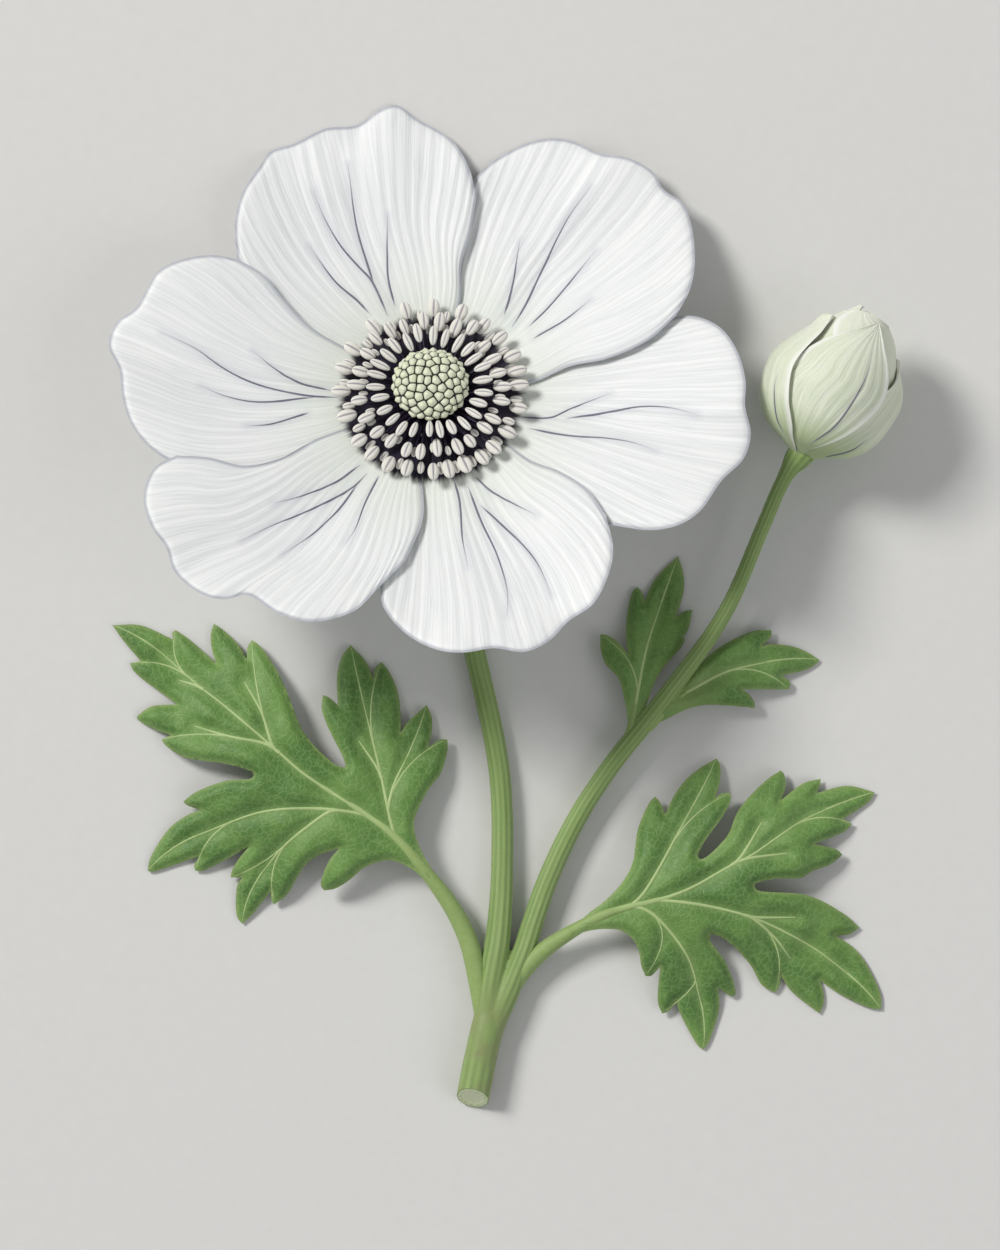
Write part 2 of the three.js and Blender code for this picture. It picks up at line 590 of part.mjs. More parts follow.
function tepalGeometry({ edges, layers }) {
  const axis = BUD_POINT.clone().sub(BUD_FOOT).normalize();
  const right = axis.clone().cross(UP).normalize();
  const upward = right.clone().cross(axis);
  const [foot, tip] = [edges[0][0], edges.at(-1)[0]];
  const firstAt = smoothTable(edges.map(([along, first]) => [along, first]));
  const secondAt = smoothTable(edges.map(([along, , second]) => [along, second]));
  const surface = (side) => (across, out) => {
    const along = lerp(foot, tip, out);
    const angle = degToRad(lerp(firstAt(along), secondAt(along), across));
    const [first, second] = layers.map(([low, high]) => lerp(low, high, smoothstep(along, 0.5, 0.75)));
    const layer = lerp(first, second, smoothstep(across, 0.18, 0.42));
    const radius = budRadiusAt(along) + layer * layerStepAt(along) + (side * TEPAL_THICKNESS) / 2;
    return BUD_FOOT.clone()
      .addScaledVector(axis, along * BUD_LENGTH)
      .addScaledVector(right, budLeanAt(along) + radius * Math.sin(angle))
      .addScaledVector(upward, radius * Math.cos(angle));
  };
  return sheetSolid(8, 9, surface(-1), surface(1));
}

// ---------------------------------------------------------------- assembly

function named(name, geometry, material) {
  const mesh = new THREE.Mesh(geometry, material.clone());
  mesh.name = name;
  return mesh;
}

function buildBloomHead() {
  const head = new THREE.Group();
  head.position.copy(onBloomAxis(0));
  head.rotation.x = -BLOOM_TILT;
  const { outer, middle, inner } = STAMEN_RINGS;
  OUTER_STAMENS.forEach((angle, i) => {
    const number = String(i + 1).padStart(2, "0");
    const stamen = named(`stamen_outer_${number}`, stamenGeometry(outer), ANTHER_PALE);
    stamen.rotation.z = degToRad(angle);
    head.add(stamen);
  });
  head.add(named("stamen_whorl_middle", whorlGeometry(middle), ANTHER_PALE));
  head.add(named("stamen_whorl_inner", whorlGeometry(inner), ANTHER_PALE));
  return head;
}

function buildFlower() {
  const flower = new THREE.Group();
  const stemRoom = stemSolid(SEAT_GAP);
  flower.add(named("stem", stemGeometry(), STEM_GREEN));
  for (const petal of PETALS) flower.add(named(petal.name, petalGeometry(petal), PETAL_WHITE));
  flower.add(named("pistil_boss", turnedOnBloomAxis(BOSS_PROFILE, 18), BOSS_PALE));
  flower.add(buildBloomHead());
  for (const leaf of [LEFT_LEAF, RIGHT_LEAF, LEFT_BRACT, RIGHT_BRACT]) {
    flower.add(named(leaf.name, leafGeometry(leaf, stemRoom), LEAF_GREEN));
  }
  for (const tepal of TEPALS) flower.add(named(tepal.name, tepalGeometry(tepal), BUD_WHITE));
  return flower;
}

const flower = buildFlower();
flower.updateMatrixWorld(true);
const footprint = new THREE.Box3().setFromObject(flower, true);
const middle = footprint.getCenter(new THREE.Vector3());
flower.position.set(-middle.x, -middle.y, -footprint.min.z);

export default flower;
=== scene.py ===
# %% [markdown]
# # A cut anemone, lying on a pale surface
# One open white bloom with a dark ring of stamens, one closed bud, two deeply cut leaves and two
# small bract leaves, all on one branched stem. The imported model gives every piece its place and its
# outer size. This lesson grows the fine surface of each piece around it: thin cupped petals, pollen
# covered anthers, a boss of packed pistils, quilted leaves, a ribbed and hairy stem.

# %% Load the frame
import math

import bmesh
import bpy
import numpy as np
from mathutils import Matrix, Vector, geometry, kdtree
from mathutils.bvhtree import BVHTree


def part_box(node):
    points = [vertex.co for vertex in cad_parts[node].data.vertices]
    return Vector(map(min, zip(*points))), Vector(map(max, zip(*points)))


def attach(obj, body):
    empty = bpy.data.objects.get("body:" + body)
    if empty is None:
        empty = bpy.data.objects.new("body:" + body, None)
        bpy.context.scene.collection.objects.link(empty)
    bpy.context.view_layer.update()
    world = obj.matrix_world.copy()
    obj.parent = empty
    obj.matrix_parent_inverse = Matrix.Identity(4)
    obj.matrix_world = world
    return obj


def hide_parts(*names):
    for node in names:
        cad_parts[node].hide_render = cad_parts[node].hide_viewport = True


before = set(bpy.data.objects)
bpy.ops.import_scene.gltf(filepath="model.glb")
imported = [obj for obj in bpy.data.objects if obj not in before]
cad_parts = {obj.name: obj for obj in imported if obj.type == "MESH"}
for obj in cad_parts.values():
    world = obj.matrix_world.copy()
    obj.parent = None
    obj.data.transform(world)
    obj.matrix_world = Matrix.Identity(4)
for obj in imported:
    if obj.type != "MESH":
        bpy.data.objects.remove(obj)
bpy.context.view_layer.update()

print("nodes in the frame:", len(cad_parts))

# %% [markdown]
# ## Where things are
# A flower is easiest to describe in plan: millimetres in X and Y from the point under the middle of
# the bloom, and Z up from the surface. The frame has its origin under the middle of the footprint
# instead. Two leaf tips are the outermost points of their leaves, so their boxes say how far apart
# the two origins are.

# %% From the plan to the frame
MM = 0.001
UP = np.array([0.0, 0.0, 1.0])
LEFT_LEAF_TIP_X = -45.2
RIGHT_LEAF_TIP_Y = -93.6
LEAF_TIP_UNDERSIDE = 0.05

left_leaf_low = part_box("leaf_left")[0] / MM
right_leaf_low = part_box("leaf_right")[0] / MM
PLAN_TO_FRAME = np.array([
    left_leaf_low.x - LEFT_LEAF_TIP_X,
    right_leaf_low.y - RIGHT_LEAF_TIP_Y,
    left_leaf_low.z - LEAF_TIP_UNDERSIDE,
])
print("plan to frame, mm:", PLAN_TO_FRAME.round(3))

# %% [markdown]
# ## Smooth lines and smooth tables
# Plants have no straight edges. Every outline and stalk here is a Catmull-Rom curve through a few
# given points, in its centripetal form, which never loops or overshoots at a sharp bend. Quantities
# that change along a piece, such as a radius, go through a small table of pairs in the same smooth
# way.

# %% Curves and tables
def hermite(t, start, leave, end, arrive):
    """A cubic from start to end as t goes from 0 to 1, with the slopes it leaves and arrives with."""
    return (
        (2 * t**3 - 3 * t**2 + 1) * start + (t**3 - 2 * t**2 + t) * leave
        + (3 * t**2 - 2 * t**3) * end + (t**3 - t**2) * arrive
    )


def curve_through(points, per_span=16):
    """Dense points on a smooth curve that passes through each given point, in 2 or 3 dimensions."""
    given = np.array(points, float)
    if len(given) == 2:
        return given[0] + (given[1] - given[0]) * np.linspace(0, 1, per_span)[:, None]
    p = np.vstack([2 * given[0] - given[1], given, 2 * given[-1] - given[-2]])
    gap = np.sqrt(np.linalg.norm(np.diff(p, axis=0), axis=1))
    t = np.linspace(0, 1, per_span, endpoint=False)[:, None]
    dense = []
    for i in range(len(given) - 1):
        before, start, end, after = p[i:i + 4]
        a, b, c = gap[i:i + 3]
        leave = ((start - before) / a - (end - before) / (a + b) + (end - start) / b) * b
        arrive = ((end - start) / b - (after - start) / (b + c) + (after - end) / c) * b
        dense.append(hermite(t, start, leave, end, arrive))
    return np.vstack(dense + [given[-1:]])


def bowed(start, bend, end, shares):
    """The points at these shares of a curve from start to end that is drawn towards the bend."""
    t = np.asarray(shares)[:, None]
    return (1 - t) ** 2 * np.array(start) + 2 * t * (1 - t) * np.array(bend) + t**2 * np.array(end)


def step_lengths(line):
    return np.linalg.norm(np.diff(line, axis=0), axis=1)


def length_of(line):
    return step_lengths(line).sum()


def travelled_on(line):
    """How far along a dense line each of its points is."""
    return np.concatenate([[0], np.cumsum(step_lengths(line))])


def place_on(line, fractions):
    """The points of a dense line at these fractions of its length."""
    travelled = travelled_on(line)
    places = np.asarray(fractions) * travelled[-1]
    return np.stack([np.interp(places, travelled, column) for column in line.T], axis=-1)


def smooth_table(pairs):
    """A smooth function through (x, value) pairs."""
    x, value = np.array(pairs, float).T
    slope = np.empty_like(value)
    slope[1:-1] = (value[2:] - value[:-2]) / (x[2:] - x[:-2])
    slope[0] = 1.5 * (value[1] - value[0]) / (x[1] - x[0]) - slope[1] / 2
    slope[-1] = 1.5 * (value[-1] - value[-2]) / (x[-1] - x[-2]) - slope[-2] / 2

    def value_at(place):
        place = np.clip(place, x[0], x[-1])
        i = np.clip(np.searchsorted(x, place, side="right") - 1, 0, len(x) - 2)
        span = x[i + 1] - x[i]
        t = (place - x[i]) / span
        return hermite(t, value[i], slope[i] * span, value[i + 1], slope[i + 1] * span)

    return value_at


def smoothstep(value, low, high):
    """0 up to low, 1 from high on, smooth between."""
    t = np.clip((np.asarray(value, float) - low) / (high - low), 0, 1)
    return t * t * (3 - 2 * t)


def distance_to_lines(places, lines):
    """For each place in plan, how far the nearest of these dense lines is."""
    nearest = np.full(len(places), np.inf)
    for line in lines:
        for start, end in zip(line[:-1, :2], line[1:, :2]):
            along = end - start
            t = np.clip((places - start) @ along / max(along @ along, 1e-9), 0, 1)
            nearest = np.minimum(nearest, np.linalg.norm(places - start - t[:, None] * along, axis=1))
    return nearest


# %% [markdown]
# ## Forms: points, faces and values
# Mesh code stays short when one small class carries a shape: its points in plan millimetres, its
# faces, which finish each face takes, and named values kept at each point, such as how far along a
# petal it is. The values become mesh attributes, and the finishes read them back. Two forms join by
# simply being listed together.

# %% A form and how it becomes a piece
class Form:
    """Points and faces, the number of each face's finish, and named values at the points."""

    def __init__(self, points, faces, finish=0, **values):
        self.points = np.asarray(points, float)
        self.faces = [tuple(int(i) for i in face) for face in faces]
        self.finishes = [finish] * len(self.faces)
        self.values = {name: np.broadcast_to(v, len(self.points)) for name, v in values.items()}


def joined(forms):
    """One form that holds all of these. A value that one of them lacks is 0 there."""
    whole = Form(np.vstack([form.points for form in forms]), [])
    start = 0
    for form in forms:
        whole.faces += [tuple(i + start for i in face) for face in form.faces]
        whole.finishes += form.finishes
        start += len(form.points)
    for name in sorted({name for form in forms for name in form.values}):
        parts = [form.values.get(name, np.zeros(len(form.points))) for form in forms]
        whole.values[name] = np.concatenate(parts)
    return whole


def make_piece(name, form, finishes, nodes, crease=55):
    """Builds the piece in the frame's metres, in place of the CAD nodes that it stands for. Edges
    that bend by more than `crease` degrees stay sharp."""
    mesh = bpy.data.meshes.new(name)
    mesh.from_pydata((form.points + PLAN_TO_FRAME) * MM, [], form.faces)
    for finish in finishes:
        mesh.materials.append(finish)
    mesh.polygons.foreach_set("material_index", form.finishes)
    for key, values in form.values.items():
        mesh.attributes.new(key, "FLOAT", "POINT").data.foreach_set("value", values.astype(np.float32))
    mesh.shade_smooth()
    mesh.set_sharp_from_angle(angle=math.radians(crease))
    piece = bpy.data.objects.new(name, mesh)
    bpy.context.scene.collection.objects.link(piece)
    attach(piece, "root")
    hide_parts(*nodes)


# %% [markdown]
# ## Sheets and tubes
# Two kinds of form make most of a flower. A sheet is an upper and a lower grid of points with a rim
# between them: petals and tepals are sheets. A tube follows a line with a radius at each point:
# stalks, filaments and veins are tubes. The tube's rings are carried along the line without
# twisting, so ribs on a stalk run straight. Whatever is built of rings of points shares one
# function for its faces.

# %% Sheets and tubes
def sheet(upper, lower, over=0, under=1, **values):
    """A closed sheet between two grids of shape (rows, columns, 3). Columns run to the left of rows."""
    rows, columns = upper.shape[:2]
    number = np.arange(rows * columns).reshape(rows, columns)
    a, b, c, d = number[:-1, :-1], number[:-1, 1:], number[1:, 1:], number[1:, :-1]
    top = np.stack([a, d, c, b], -1).reshape(-1, 4)
    bottom = np.stack([a, b, c, d], -1).reshape(-1, 4) + number.size
    rim = np.concatenate([number[0, :-1], number[:-1, -1], number[-1, :0:-1], number[:0:-1, 0]])
    after = np.roll(rim, -1)
    wall = np.stack([rim, after, after + number.size, rim + number.size], -1)
    both = {name: np.tile(np.broadcast_to(v, number.shape).ravel(), 2) for name, v in values.items()}
    form = Form(
        np.concatenate([upper.reshape(-1, 3), lower.reshape(-1, 3)]),
        np.concatenate([top, bottom, wall]),
        **both,
    )
    form.finishes = [over] * len(top) + [under] * len(bottom) + [over] * len(wall)
    return form


def way_round(count):
    """The angles of even steps once round, in radians."""
    return 2 * np.pi * np.arange(count) / count


def spun(radius, height, turn):
    """Points at these radii, heights and turns round an upright axis."""
    return np.stack(np.broadcast_arrays(radius * np.cos(turn), radius * np.sin(turn), height), -1)


def ring_faces(rings, sides, inside_out=False):
    """The walls between rings that follow one another, then a lid on the first and on the last."""
    number = np.arange(rings * sides).reshape(rings, sides)
    after = np.roll(number, -1, axis=1)
    walls = np.stack([number[:-1], after[:-1], after[1:], number[1:]], -1).reshape(-1, 4)
    lids = [number[0, ::-1], number[-1]]
    if inside_out:
        walls = walls[:, [0, 3, 2, 1]]
        lids = [lid[::-1] for lid in lids]
    return [*walls.tolist(), *[lid.tolist() for lid in lids]]


def carried_directions(line):
    """A sideways and a lift direction at each point of a line, carried along it without twist."""
    heading = np.gradient(line, axis=0)
    heading /= np.linalg.norm(heading, axis=1)[:, None]
    sideways = np.cross(UP, heading[0])
    if np.linalg.norm(sideways) < 0.1:
        sideways = np.cross([0, 1, 0], heading[0])
    across = []
    for direction in heading:
        sideways = sideways - direction * (sideways @ direction)
        sideways = sideways / np.linalg.norm(sideways)
        across.append(sideways)
    return np.array(across), np.cross(heading, across)


def tube(line, radii, sides, finish=0, flatness=1.0, **values):
    """A closed tube round a line. A flatness under 1 makes it lower than it is wide."""
    across, lift = carried_directions(line)
    turn = way_round(sides)[:, None]
    spokes = across[:, None] * np.cos(turn) + flatness * lift[:, None] * np.sin(turn)
    rings = line[:, None] + spokes * np.broadcast_to(radii, len(line))[:, None, None]
    spread = {name: np.repeat(np.broadcast_to(v, len(line)), sides) for name, v in values.items()}
    return Form(rings.reshape(-1, 3), ring_faces(len(line), sides), finish, **spread)


# %% [markdown]
# ## Veins that lie on a surface
# A vein is drawn in plan as a few points. To lie on its petal or leaf it must find the surface, so
# a ray is dropped onto the form at each step and a thin, flattened tube is laid where the rays hit.
# It is sunk by part of its height, and it thins out towards its tip, so it looks grown and not
# glued on. Every veined piece lists the finish of its veins third.

# %% Laying veins
VEIN_STEP = 0.35
VEIN_SIDES = 8
VEIN_FINISH = 2
ABOVE_EVERYTHING = 100


def surface_finder(form):
    """A function that gives the form's highest point over a place in plan, or None beside it."""
    tree = BVHTree.FromPolygons(form.points.tolist(), form.faces)

    def find(place):
        return tree.ray_cast(Vector((place[0], place[1], ABOVE_EVERYTHING)), Vector((0, 0, -1)))[0]

    return find


def vein(find, line, width_at, flatness=0.5, proud=0.4):
    """A vein along a line in plan. `width_at` gives its half width from its base to its tip, and
    `proud` how much of its half height its middle stands above the surface."""
    steps = max(6, round(length_of(line) / VEIN_STEP))
    fractions = np.linspace(0, 1, steps + 1)
    hits = [(fraction, find(place)) for fraction, place in zip(fractions, place_on(line, fractions))]
    share = np.array([fraction for fraction, hit in hits if hit])
    points = np.array([hit for _, hit in hits if hit])
    half_width = width_at(share)
    points[:, 2] += half_width * flatness * (proud - 0.5)
    return tube(points, half_width, VEIN_SIDES, VEIN_FINISH, flatness, share=share)


def with_veins(form, veins, width_at):
    """The form and the veins drawn for it, which stay low and mostly sunk in."""
    find = surface_finder(form)
    lines = [curve_through(points) for points in veins]
    return joined([form, *[vein(find, line, width_at, 0.4, 0.2) for line in lines]])


# %% [markdown]
# ## Shader maths as expressions
# A finish is a small recipe: masks, noises and colours worked out from the values on the mesh. The
# class below wraps one output socket, so that maths on it is written as ordinary Python and adds
# the Math nodes by itself. The Finish class holds one material and has a single method for every
# other kind of node.

# %% Sockets and finishes
class Wire:
    """One value that changes over the surface."""

    def __init__(self, tree, socket):
        self.tree = tree
        self.socket = socket

    def maths(self, operation, first, second=0.0):
        node = self.tree.nodes.new("ShaderNodeMath")
        node.operation = operation
        for socket, value in zip(node.inputs, (first, second)):
            connect(self.tree, socket, value)
        return Wire(self.tree, node.outputs[0])

    def __add__(self, other):
        return self.maths("ADD", self, other)

    __radd__ = __add__

    def __mul__(self, other):
        return self.maths("MULTIPLY", self, other)

    __rmul__ = __mul__

    def __sub__(self, other):
        return self.maths("SUBTRACT", self, other)

    def __rsub__(self, other):
        return self.maths("SUBTRACT", other, self)

    def __truediv__(self, other):
        return self.maths("DIVIDE", self, other)

    def __pow__(self, other):
        return self.maths("POWER", self, other)

    def __abs__(self):
        return self.maths("ABSOLUTE", self)


def connect(tree, socket, value):
    if isinstance(value, Wire):
        tree.links.new(value.socket, socket)
    else:
        socket.default_value = value


class Finish:
    """A material and the nodes of its recipe."""

    def __init__(self, name):
        self.material = bpy.data.materials.new(name)
        self.material.use_nodes = True
        self.tree = self.material.node_tree
        self.tree.nodes.clear()

    def node(self, kind, settings=None, sockets=None, output=0):
        """Adds a node. Its settings come first, then what its sockets take."""
        node = self.tree.nodes.new("ShaderNode" + kind)
        for key, value in (settings or {}).items():
            setattr(node, key, value)
        for key, value in (sockets or {}).items():
            connect(self.tree, node.inputs[key], value)
        return Wire(self.tree, node.outputs[output])

    def value(self, name):
        """A value that the mesh keeps at each point."""
        return self.node("Attribute", {"attribute_name": name}, output=2)

    def millimetres(self):
        """The place on the object, in millimetres."""
        place = self.node("TexCoord", output=3)
        return self.node("VectorMath", {"operation": "SCALE"}, {"Vector": place, "Scale": 1 / MM})

    def vector(self, x, y, z=0.0):
        return self.node("CombineXYZ", None, {"X": x, "Y": y, "Z": z})

    def noise(self, place, scale, detail=3.0, roughness=0.55):
        return self.node("TexNoise", None, {
            "Vector": place, "Scale": scale, "Detail": detail, "Roughness": roughness,
        })

    def fade(self, value, low, high):
        """0 where the value is at low, 1 where it is at high, smooth between."""
        return self.node("MapRange", {"interpolation_type": "SMOOTHSTEP"}, {
            "Value": value, "From Min": low, "From Max": high,
        })

    def blend(self, share, first, second):
        """The first colour, turning into the second as share goes from 0 to 1."""
        node = self.tree.nodes.new("ShaderNodeMix")
        node.data_type = "RGBA"
        connect(self.tree, node.inputs["Factor"], share)
        for socket, colour in ((node.inputs[6], first), (node.inputs[7], second)):
            connect(self.tree, socket, colour if isinstance(colour, Wire) else (*colour, 1))
        return Wire(self.tree, node.outputs[2])

    def bump(self, height, depth, strength=1.0):
        """A normal from a height of 0 to 1 that stands for a depth in millimetres."""
        return self.node("Bump", None, {"Height": height, "Distance": depth * MM, "Strength": strength})

    def done(self, colour, roughness, normal, **constants):
        """Ends the recipe. The constants are the shader's own sockets, such as Sheen_Weight."""
        shader = self.tree.nodes.new("ShaderNodeBsdfPrincipled")
        connect(self.tree, shader.inputs["Base Color"], colour)
        connect(self.tree, shader.inputs["Roughness"], roughness)
        connect(self.tree, shader.inputs["Normal"], normal)
        for key, value in constants.items():
            shader.inputs[key.replace("_", " ")].default_value = value
        output = self.tree.nodes.new("ShaderNodeOutputMaterial")
        self.tree.links.new(shader.outputs[0], output.inputs["Surface"])
        return self.material


def grained(name, noise, colours, roughness, bump, **constants):
    """A plain finish, in which one noise mixes two colours and makes the surface rougher and uneven.
    The pairs are the noise's scale and detail, the least roughness and what the noise adds to it,
    and the bump's depth and strength."""
    finish = Finish(name)
    grain = finish.noise(finish.millimetres(), *noise)
    colour = finish.blend(grain, *colours)
    least, added = roughness
    return finish.done(colour, least + grain * added, finish.bump(grain, *bump), **constants)


# %% [markdown]
# ## The bloom's own frame
# The bloom stands on its stalk with its open face leaning 23 degrees towards the top of the
# picture, so it is described in a tilted frame of its own. Petals follow one shared height over the
# plan: a tilted plane, cupped towards the rim and gently ruffled there. Because all six petals read
# the same height, they can lie over and under one another by a small lap and never cut through.

# %% The bloom's frame
BLOOM_TILT = math.radians(23)
BLOOM_HEIGHT = 9.3
BLOOM_MIDDLE_Y = -1.4
PETAL_SEAT_RADIUS = 4.7
PETAL_SEAT_ANGLE = 57
PETAL_CUP = 8.5
PETAL_CUP_RADIUS = 52
PETAL_LAP = 0.75
PETAL_RUFFLE = 0.9


def from_bloom(places):
    """Points given in the bloom's own frame, as points of the plan."""
    x, y, z = np.moveaxis(np.asarray(places, float), -1, 0)
    lean, rise = math.sin(BLOOM_TILT), math.cos(BLOOM_TILT)
    return np.stack([x, y * rise + z * lean + BLOOM_MIDDLE_Y, z * rise - y * lean + BLOOM_HEIGHT], -1)


def in_bloom_plane(x, y):
    """How far from the bloom's middle a place in plan is, in the tilted plane, and at what angle."""
    along = (y - BLOOM_MIDDLE_Y) / math.cos(BLOOM_TILT)
    return np.hypot(x, along), np.arctan2(along, x)


def bloom_height(x, y):
    """The height that all petals share: the plane, the cup and the waves round the rim."""
    radius, angle = in_bloom_plane(x, y)
    plane = BLOOM_HEIGHT - (y - BLOOM_MIDDLE_Y) * math.tan(BLOOM_TILT)
    cup = PETAL_CUP * smoothstep(radius, PETAL_SEAT_RADIUS, PETAL_CUP_RADIUS)
    waves = np.sin(9 * angle) + 0.6 * np.sin(14 * angle + 2)
    return plane + cup + PETAL_RUFFLE * waves * (radius / PETAL_CUP_RADIUS) ** 4


# %% [markdown]
# ## Six petal outlines
# Each petal is drawn in plan, looking down: its clockwise side, its wavy rim and its anticlockwise
# side, all running outwards from the receptacle. `laps` says whether each side lies over (1) or
# under (-1) its neighbour, and `facing` which way it points, in degrees. The veins are the few
# strong lines that run out from the dark middle.

# %% Petal outlines and veins
PETALS = {
    "petal_top_right": {
        "facing": 47, "laps": (1, -1),
        "first_side": [(13.9, 0.7), (19.7, 3.1), (25, 4.2), (30.8, 6.8)],
        "rim": [
            (34.6, 10.2), (36.6, 14), (37.3, 18), (36.8, 23.5), (35.6, 26.4), (33, 28.3), (31.5, 30.8),
            (28, 32.8), (24, 33.5), (20.4, 35.2), (17.3, 35.7), (13.6, 35), (10.5, 33.5), (8, 31.8),
            (4.8, 28.4),
        ],
        "second_side": [(1.7, 11), (1.6, 17), (2.6, 23)],
        "veins": [
            [(10.4, 10.5), (11.5, 14.3), (12.6, 21.2)],
            [(11.5, 8.8), (12.9, 10.9), (19.3, 24), (22.6, 28.7)],
            [(13.9, 8.8), (16.6, 11.4), (23.4, 19.7)], [(14.6, 7.1), (19, 9.7), (22.6, 12.6)],
        ],
    },
    "petal_top_left": {
        "facing": 112, "laps": (1, -1),
        "first_side": [(4, 11.8), (4.3, 17.5), (5.6, 22)],
        "rim": [
            (6.4, 27), (5.5, 31.2), (3, 35.4), (-2, 38.5), (-4.8, 40.4), (-7.2, 39.8), (-10.5, 37.6),
            (-15, 37.1), (-19.3, 35), (-22.8, 33.8), (-24.3, 31.6), (-26.7, 27.8), (-27.7, 23.5),
            (-27.4, 18.6),
        ],
        "second_side": [(-8.2, 3.8), (-14, 5), (-20.5, 8.8), (-25.3, 14)],
        "veins": [
            [(-8.8, 10.8), (-10.5, 12.6), (-13.5, 15.2), (-17.2, 20.3)],
            [(-6.1, 10.4), (-8.5, 15.5), (-10.2, 17.3), (-12.8, 20.4), (-15.1, 24.3), (-16.6, 28.1)],
            [(-8, 14.6), (-10.4, 22.4), (-11.8, 32.1)], [(-5.1, 11.8), (-6, 15.5), (-6.2, 24.8)],
        ],
    },
    "petal_left": {
        "facing": 170, "laps": (1, -1),
        "first_side": [(-11.8, 5.7), (-16.9, 8.7), (-20.7, 12.6), (-23.7, 16.2)],
        "rim": [
            (-27.2, 18.3), (-31, 18.9), (-35.8, 18), (-38.6, 16.4), (-40, 14.1), (-41.5, 11.4),
            (-44.3, 9.2), (-45.3, 6), (-43.7, 2.5), (-43.2, -1.5), (-41.9, -5.3), (-39.3, -8.5),
            (-35, -11.4),
        ],
        "second_side": [(-9.3, -6.2), (-14, -9.3), (-21, -12.4), (-28.5, -13.4)],
        "veins": [
            [(-12.8, -1.3), (-17, -1.1), (-23.1, 0.1), (-28, 2.1), (-33.5, 5.8), (-37.9, 7.8)],
            [(-14.1, -0.3), (-18, 0.6), (-21.3, 2.3), (-25.1, 5.3)],
            [(-16.5, -1.3), (-24.3, -2), (-28.4, -1.3), (-32.5, 0.3)],
            [(-17.2, -3.5), (-22.4, -5.1), (-26, -5.4)],
        ],
    },
    "petal_bottom_left": {
        "facing": 225, "laps": (1, 1),
        "first_side": [(-12.1, -5.7), (-16, -7.2), (-20.6, -9.8), (-26, -11), (-31, -9.9)],
        "rim": [
            (-35.5, -9.6), (-38.6, -11.4), (-40, -15.5), (-38.8, -19.7), (-36.8, -22.5), (-35.6, -25.9),
            (-32.1, -28.9), (-28.7, -29.8), (-25.4, -29.2), (-21.2, -31.7), (-16.5, -32.9),
            (-10.5, -31.4), (-7, -28), (-3.4, -24.4),
        ],
        "second_side": [(-1.2, -12.5), (-1, -18.4)],
        "veins": [
            [(-9.9, -10.9), (-13.2, -13.3), (-18.7, -15.5), (-22, -16.3)],
            [(-8.9, -12.1), (-10.9, -14.1), (-16.9, -17.3), (-22.4, -19.6), (-26.3, -21.6)],
            [(-10.2, -13.6), (-12.8, -17.2), (-16.5, -20.7), (-20.7, -23.6)],
            [(-7.2, -12.4), (-9.1, -16.3), (-10.5, -20), (-11.8, -22)],
        ],
    },
    "petal_bottom": {
        "facing": 289, "laps": (-1, 1),
        "first_side": [(-2.8, -10.5), (-4.3, -15), (-5.6, -20.5)],
        "rim": [
            (-7, -27), (-6.5, -30.8), (-3.3, -34.6), (1, -36.8), (4.7, -37.2), (9, -36.6),
            (13.2, -37.1), (16.6, -35.6), (19.4, -32.8), (22.8, -30.4), (25, -26.1), (25.6, -22.6),
            (24.6, -18),
        ],
        "second_side": [(10.1, -7.4), (14.1, -10.2), (18.2, -11.8), (22, -14.3)],
        "veins": [
            [(3.3, -12.9), (4.1, -15.9), (4.5, -21), (5.3, -25.2)],
            [(5.3, -13.9), (7.2, -18.9), (9.4, -23.6), (10.8, -28.7), (10.8, -32.1)],
            [(7.1, -16.6), (14.5, -24), (17, -29.1)], [(6.4, -12.6), (8.4, -14.5), (14.9, -18)],
        ],
    },
    "petal_right": {
        "facing": 349, "laps": (-1, -1),
        "first_side": [(8, -7.4), (12, -10.4), (16.5, -13.8), (21, -17)],
        "rim": [
            (25.4, -19.4), (31, -20.1), (35, -19.3), (37.8, -17.4), (40.9, -13.1), (44, -10),
            (45, -6.6), (44.2, -2.6), (44.3, 1), (43, 5.6), (40.6, 8.7), (37, 10.2), (32.5, 9.8),
        ],
        "second_side": [(10, 2.6), (14, 4.2), (20, 6.2), (26, 8)],
        "veins": [
            [(12.6, -4.1), (16.9, -4.2), (19.6, -3), (25.4, -0.7)],
            [(19.2, -4.3), (23.6, -3.7), (29.4, -2.7), (33.4, -2.8), (37.5, -3.8)],
            [(13.9, -5.7), (18.9, -6.7), (25.4, -7.2), (28.7, -7.8), (31.7, -8.9)],
        ],
    },
}

# %% [markdown]
# ## A petal's surface
# A petal's outline is filled by a Coons patch: lines of equal `across` run out from the seat just as
# the fine veins of a real petal do, and lines of equal `out` follow the rim. On top of the shared
# height come a petal's own hollow, its folds and its many fine ribs. Hollow and folds fade out
# towards its sides, which must stay clear of the neighbours. The last millimetre of the edge rolls
# down a little, which draws a soft line round each petal. A living petal is a third of a millimetre
# thick and thins out at its rim. Where a petal reaches the surface it rests on it.

# %% Fill the outlines
PETAL_COLUMNS = 160
PETAL_ROWS = 130
SURFACE = -PLAN_TO_FRAME[2]
RESTING_SOFTNESS = 0.3


def petal_seat(petal, across):
    """Where the petal grows from the receptacle, in plan."""
    angle = np.radians(petal["facing"] + PETAL_SEAT_ANGLE * (np.asarray(across) - 0.5))
    y = BLOOM_MIDDLE_Y + PETAL_SEAT_RADIUS * np.sin(angle) * math.cos(BLOOM_TILT)
    return np.stack([PETAL_SEAT_RADIUS * np.cos(angle), y], -1)


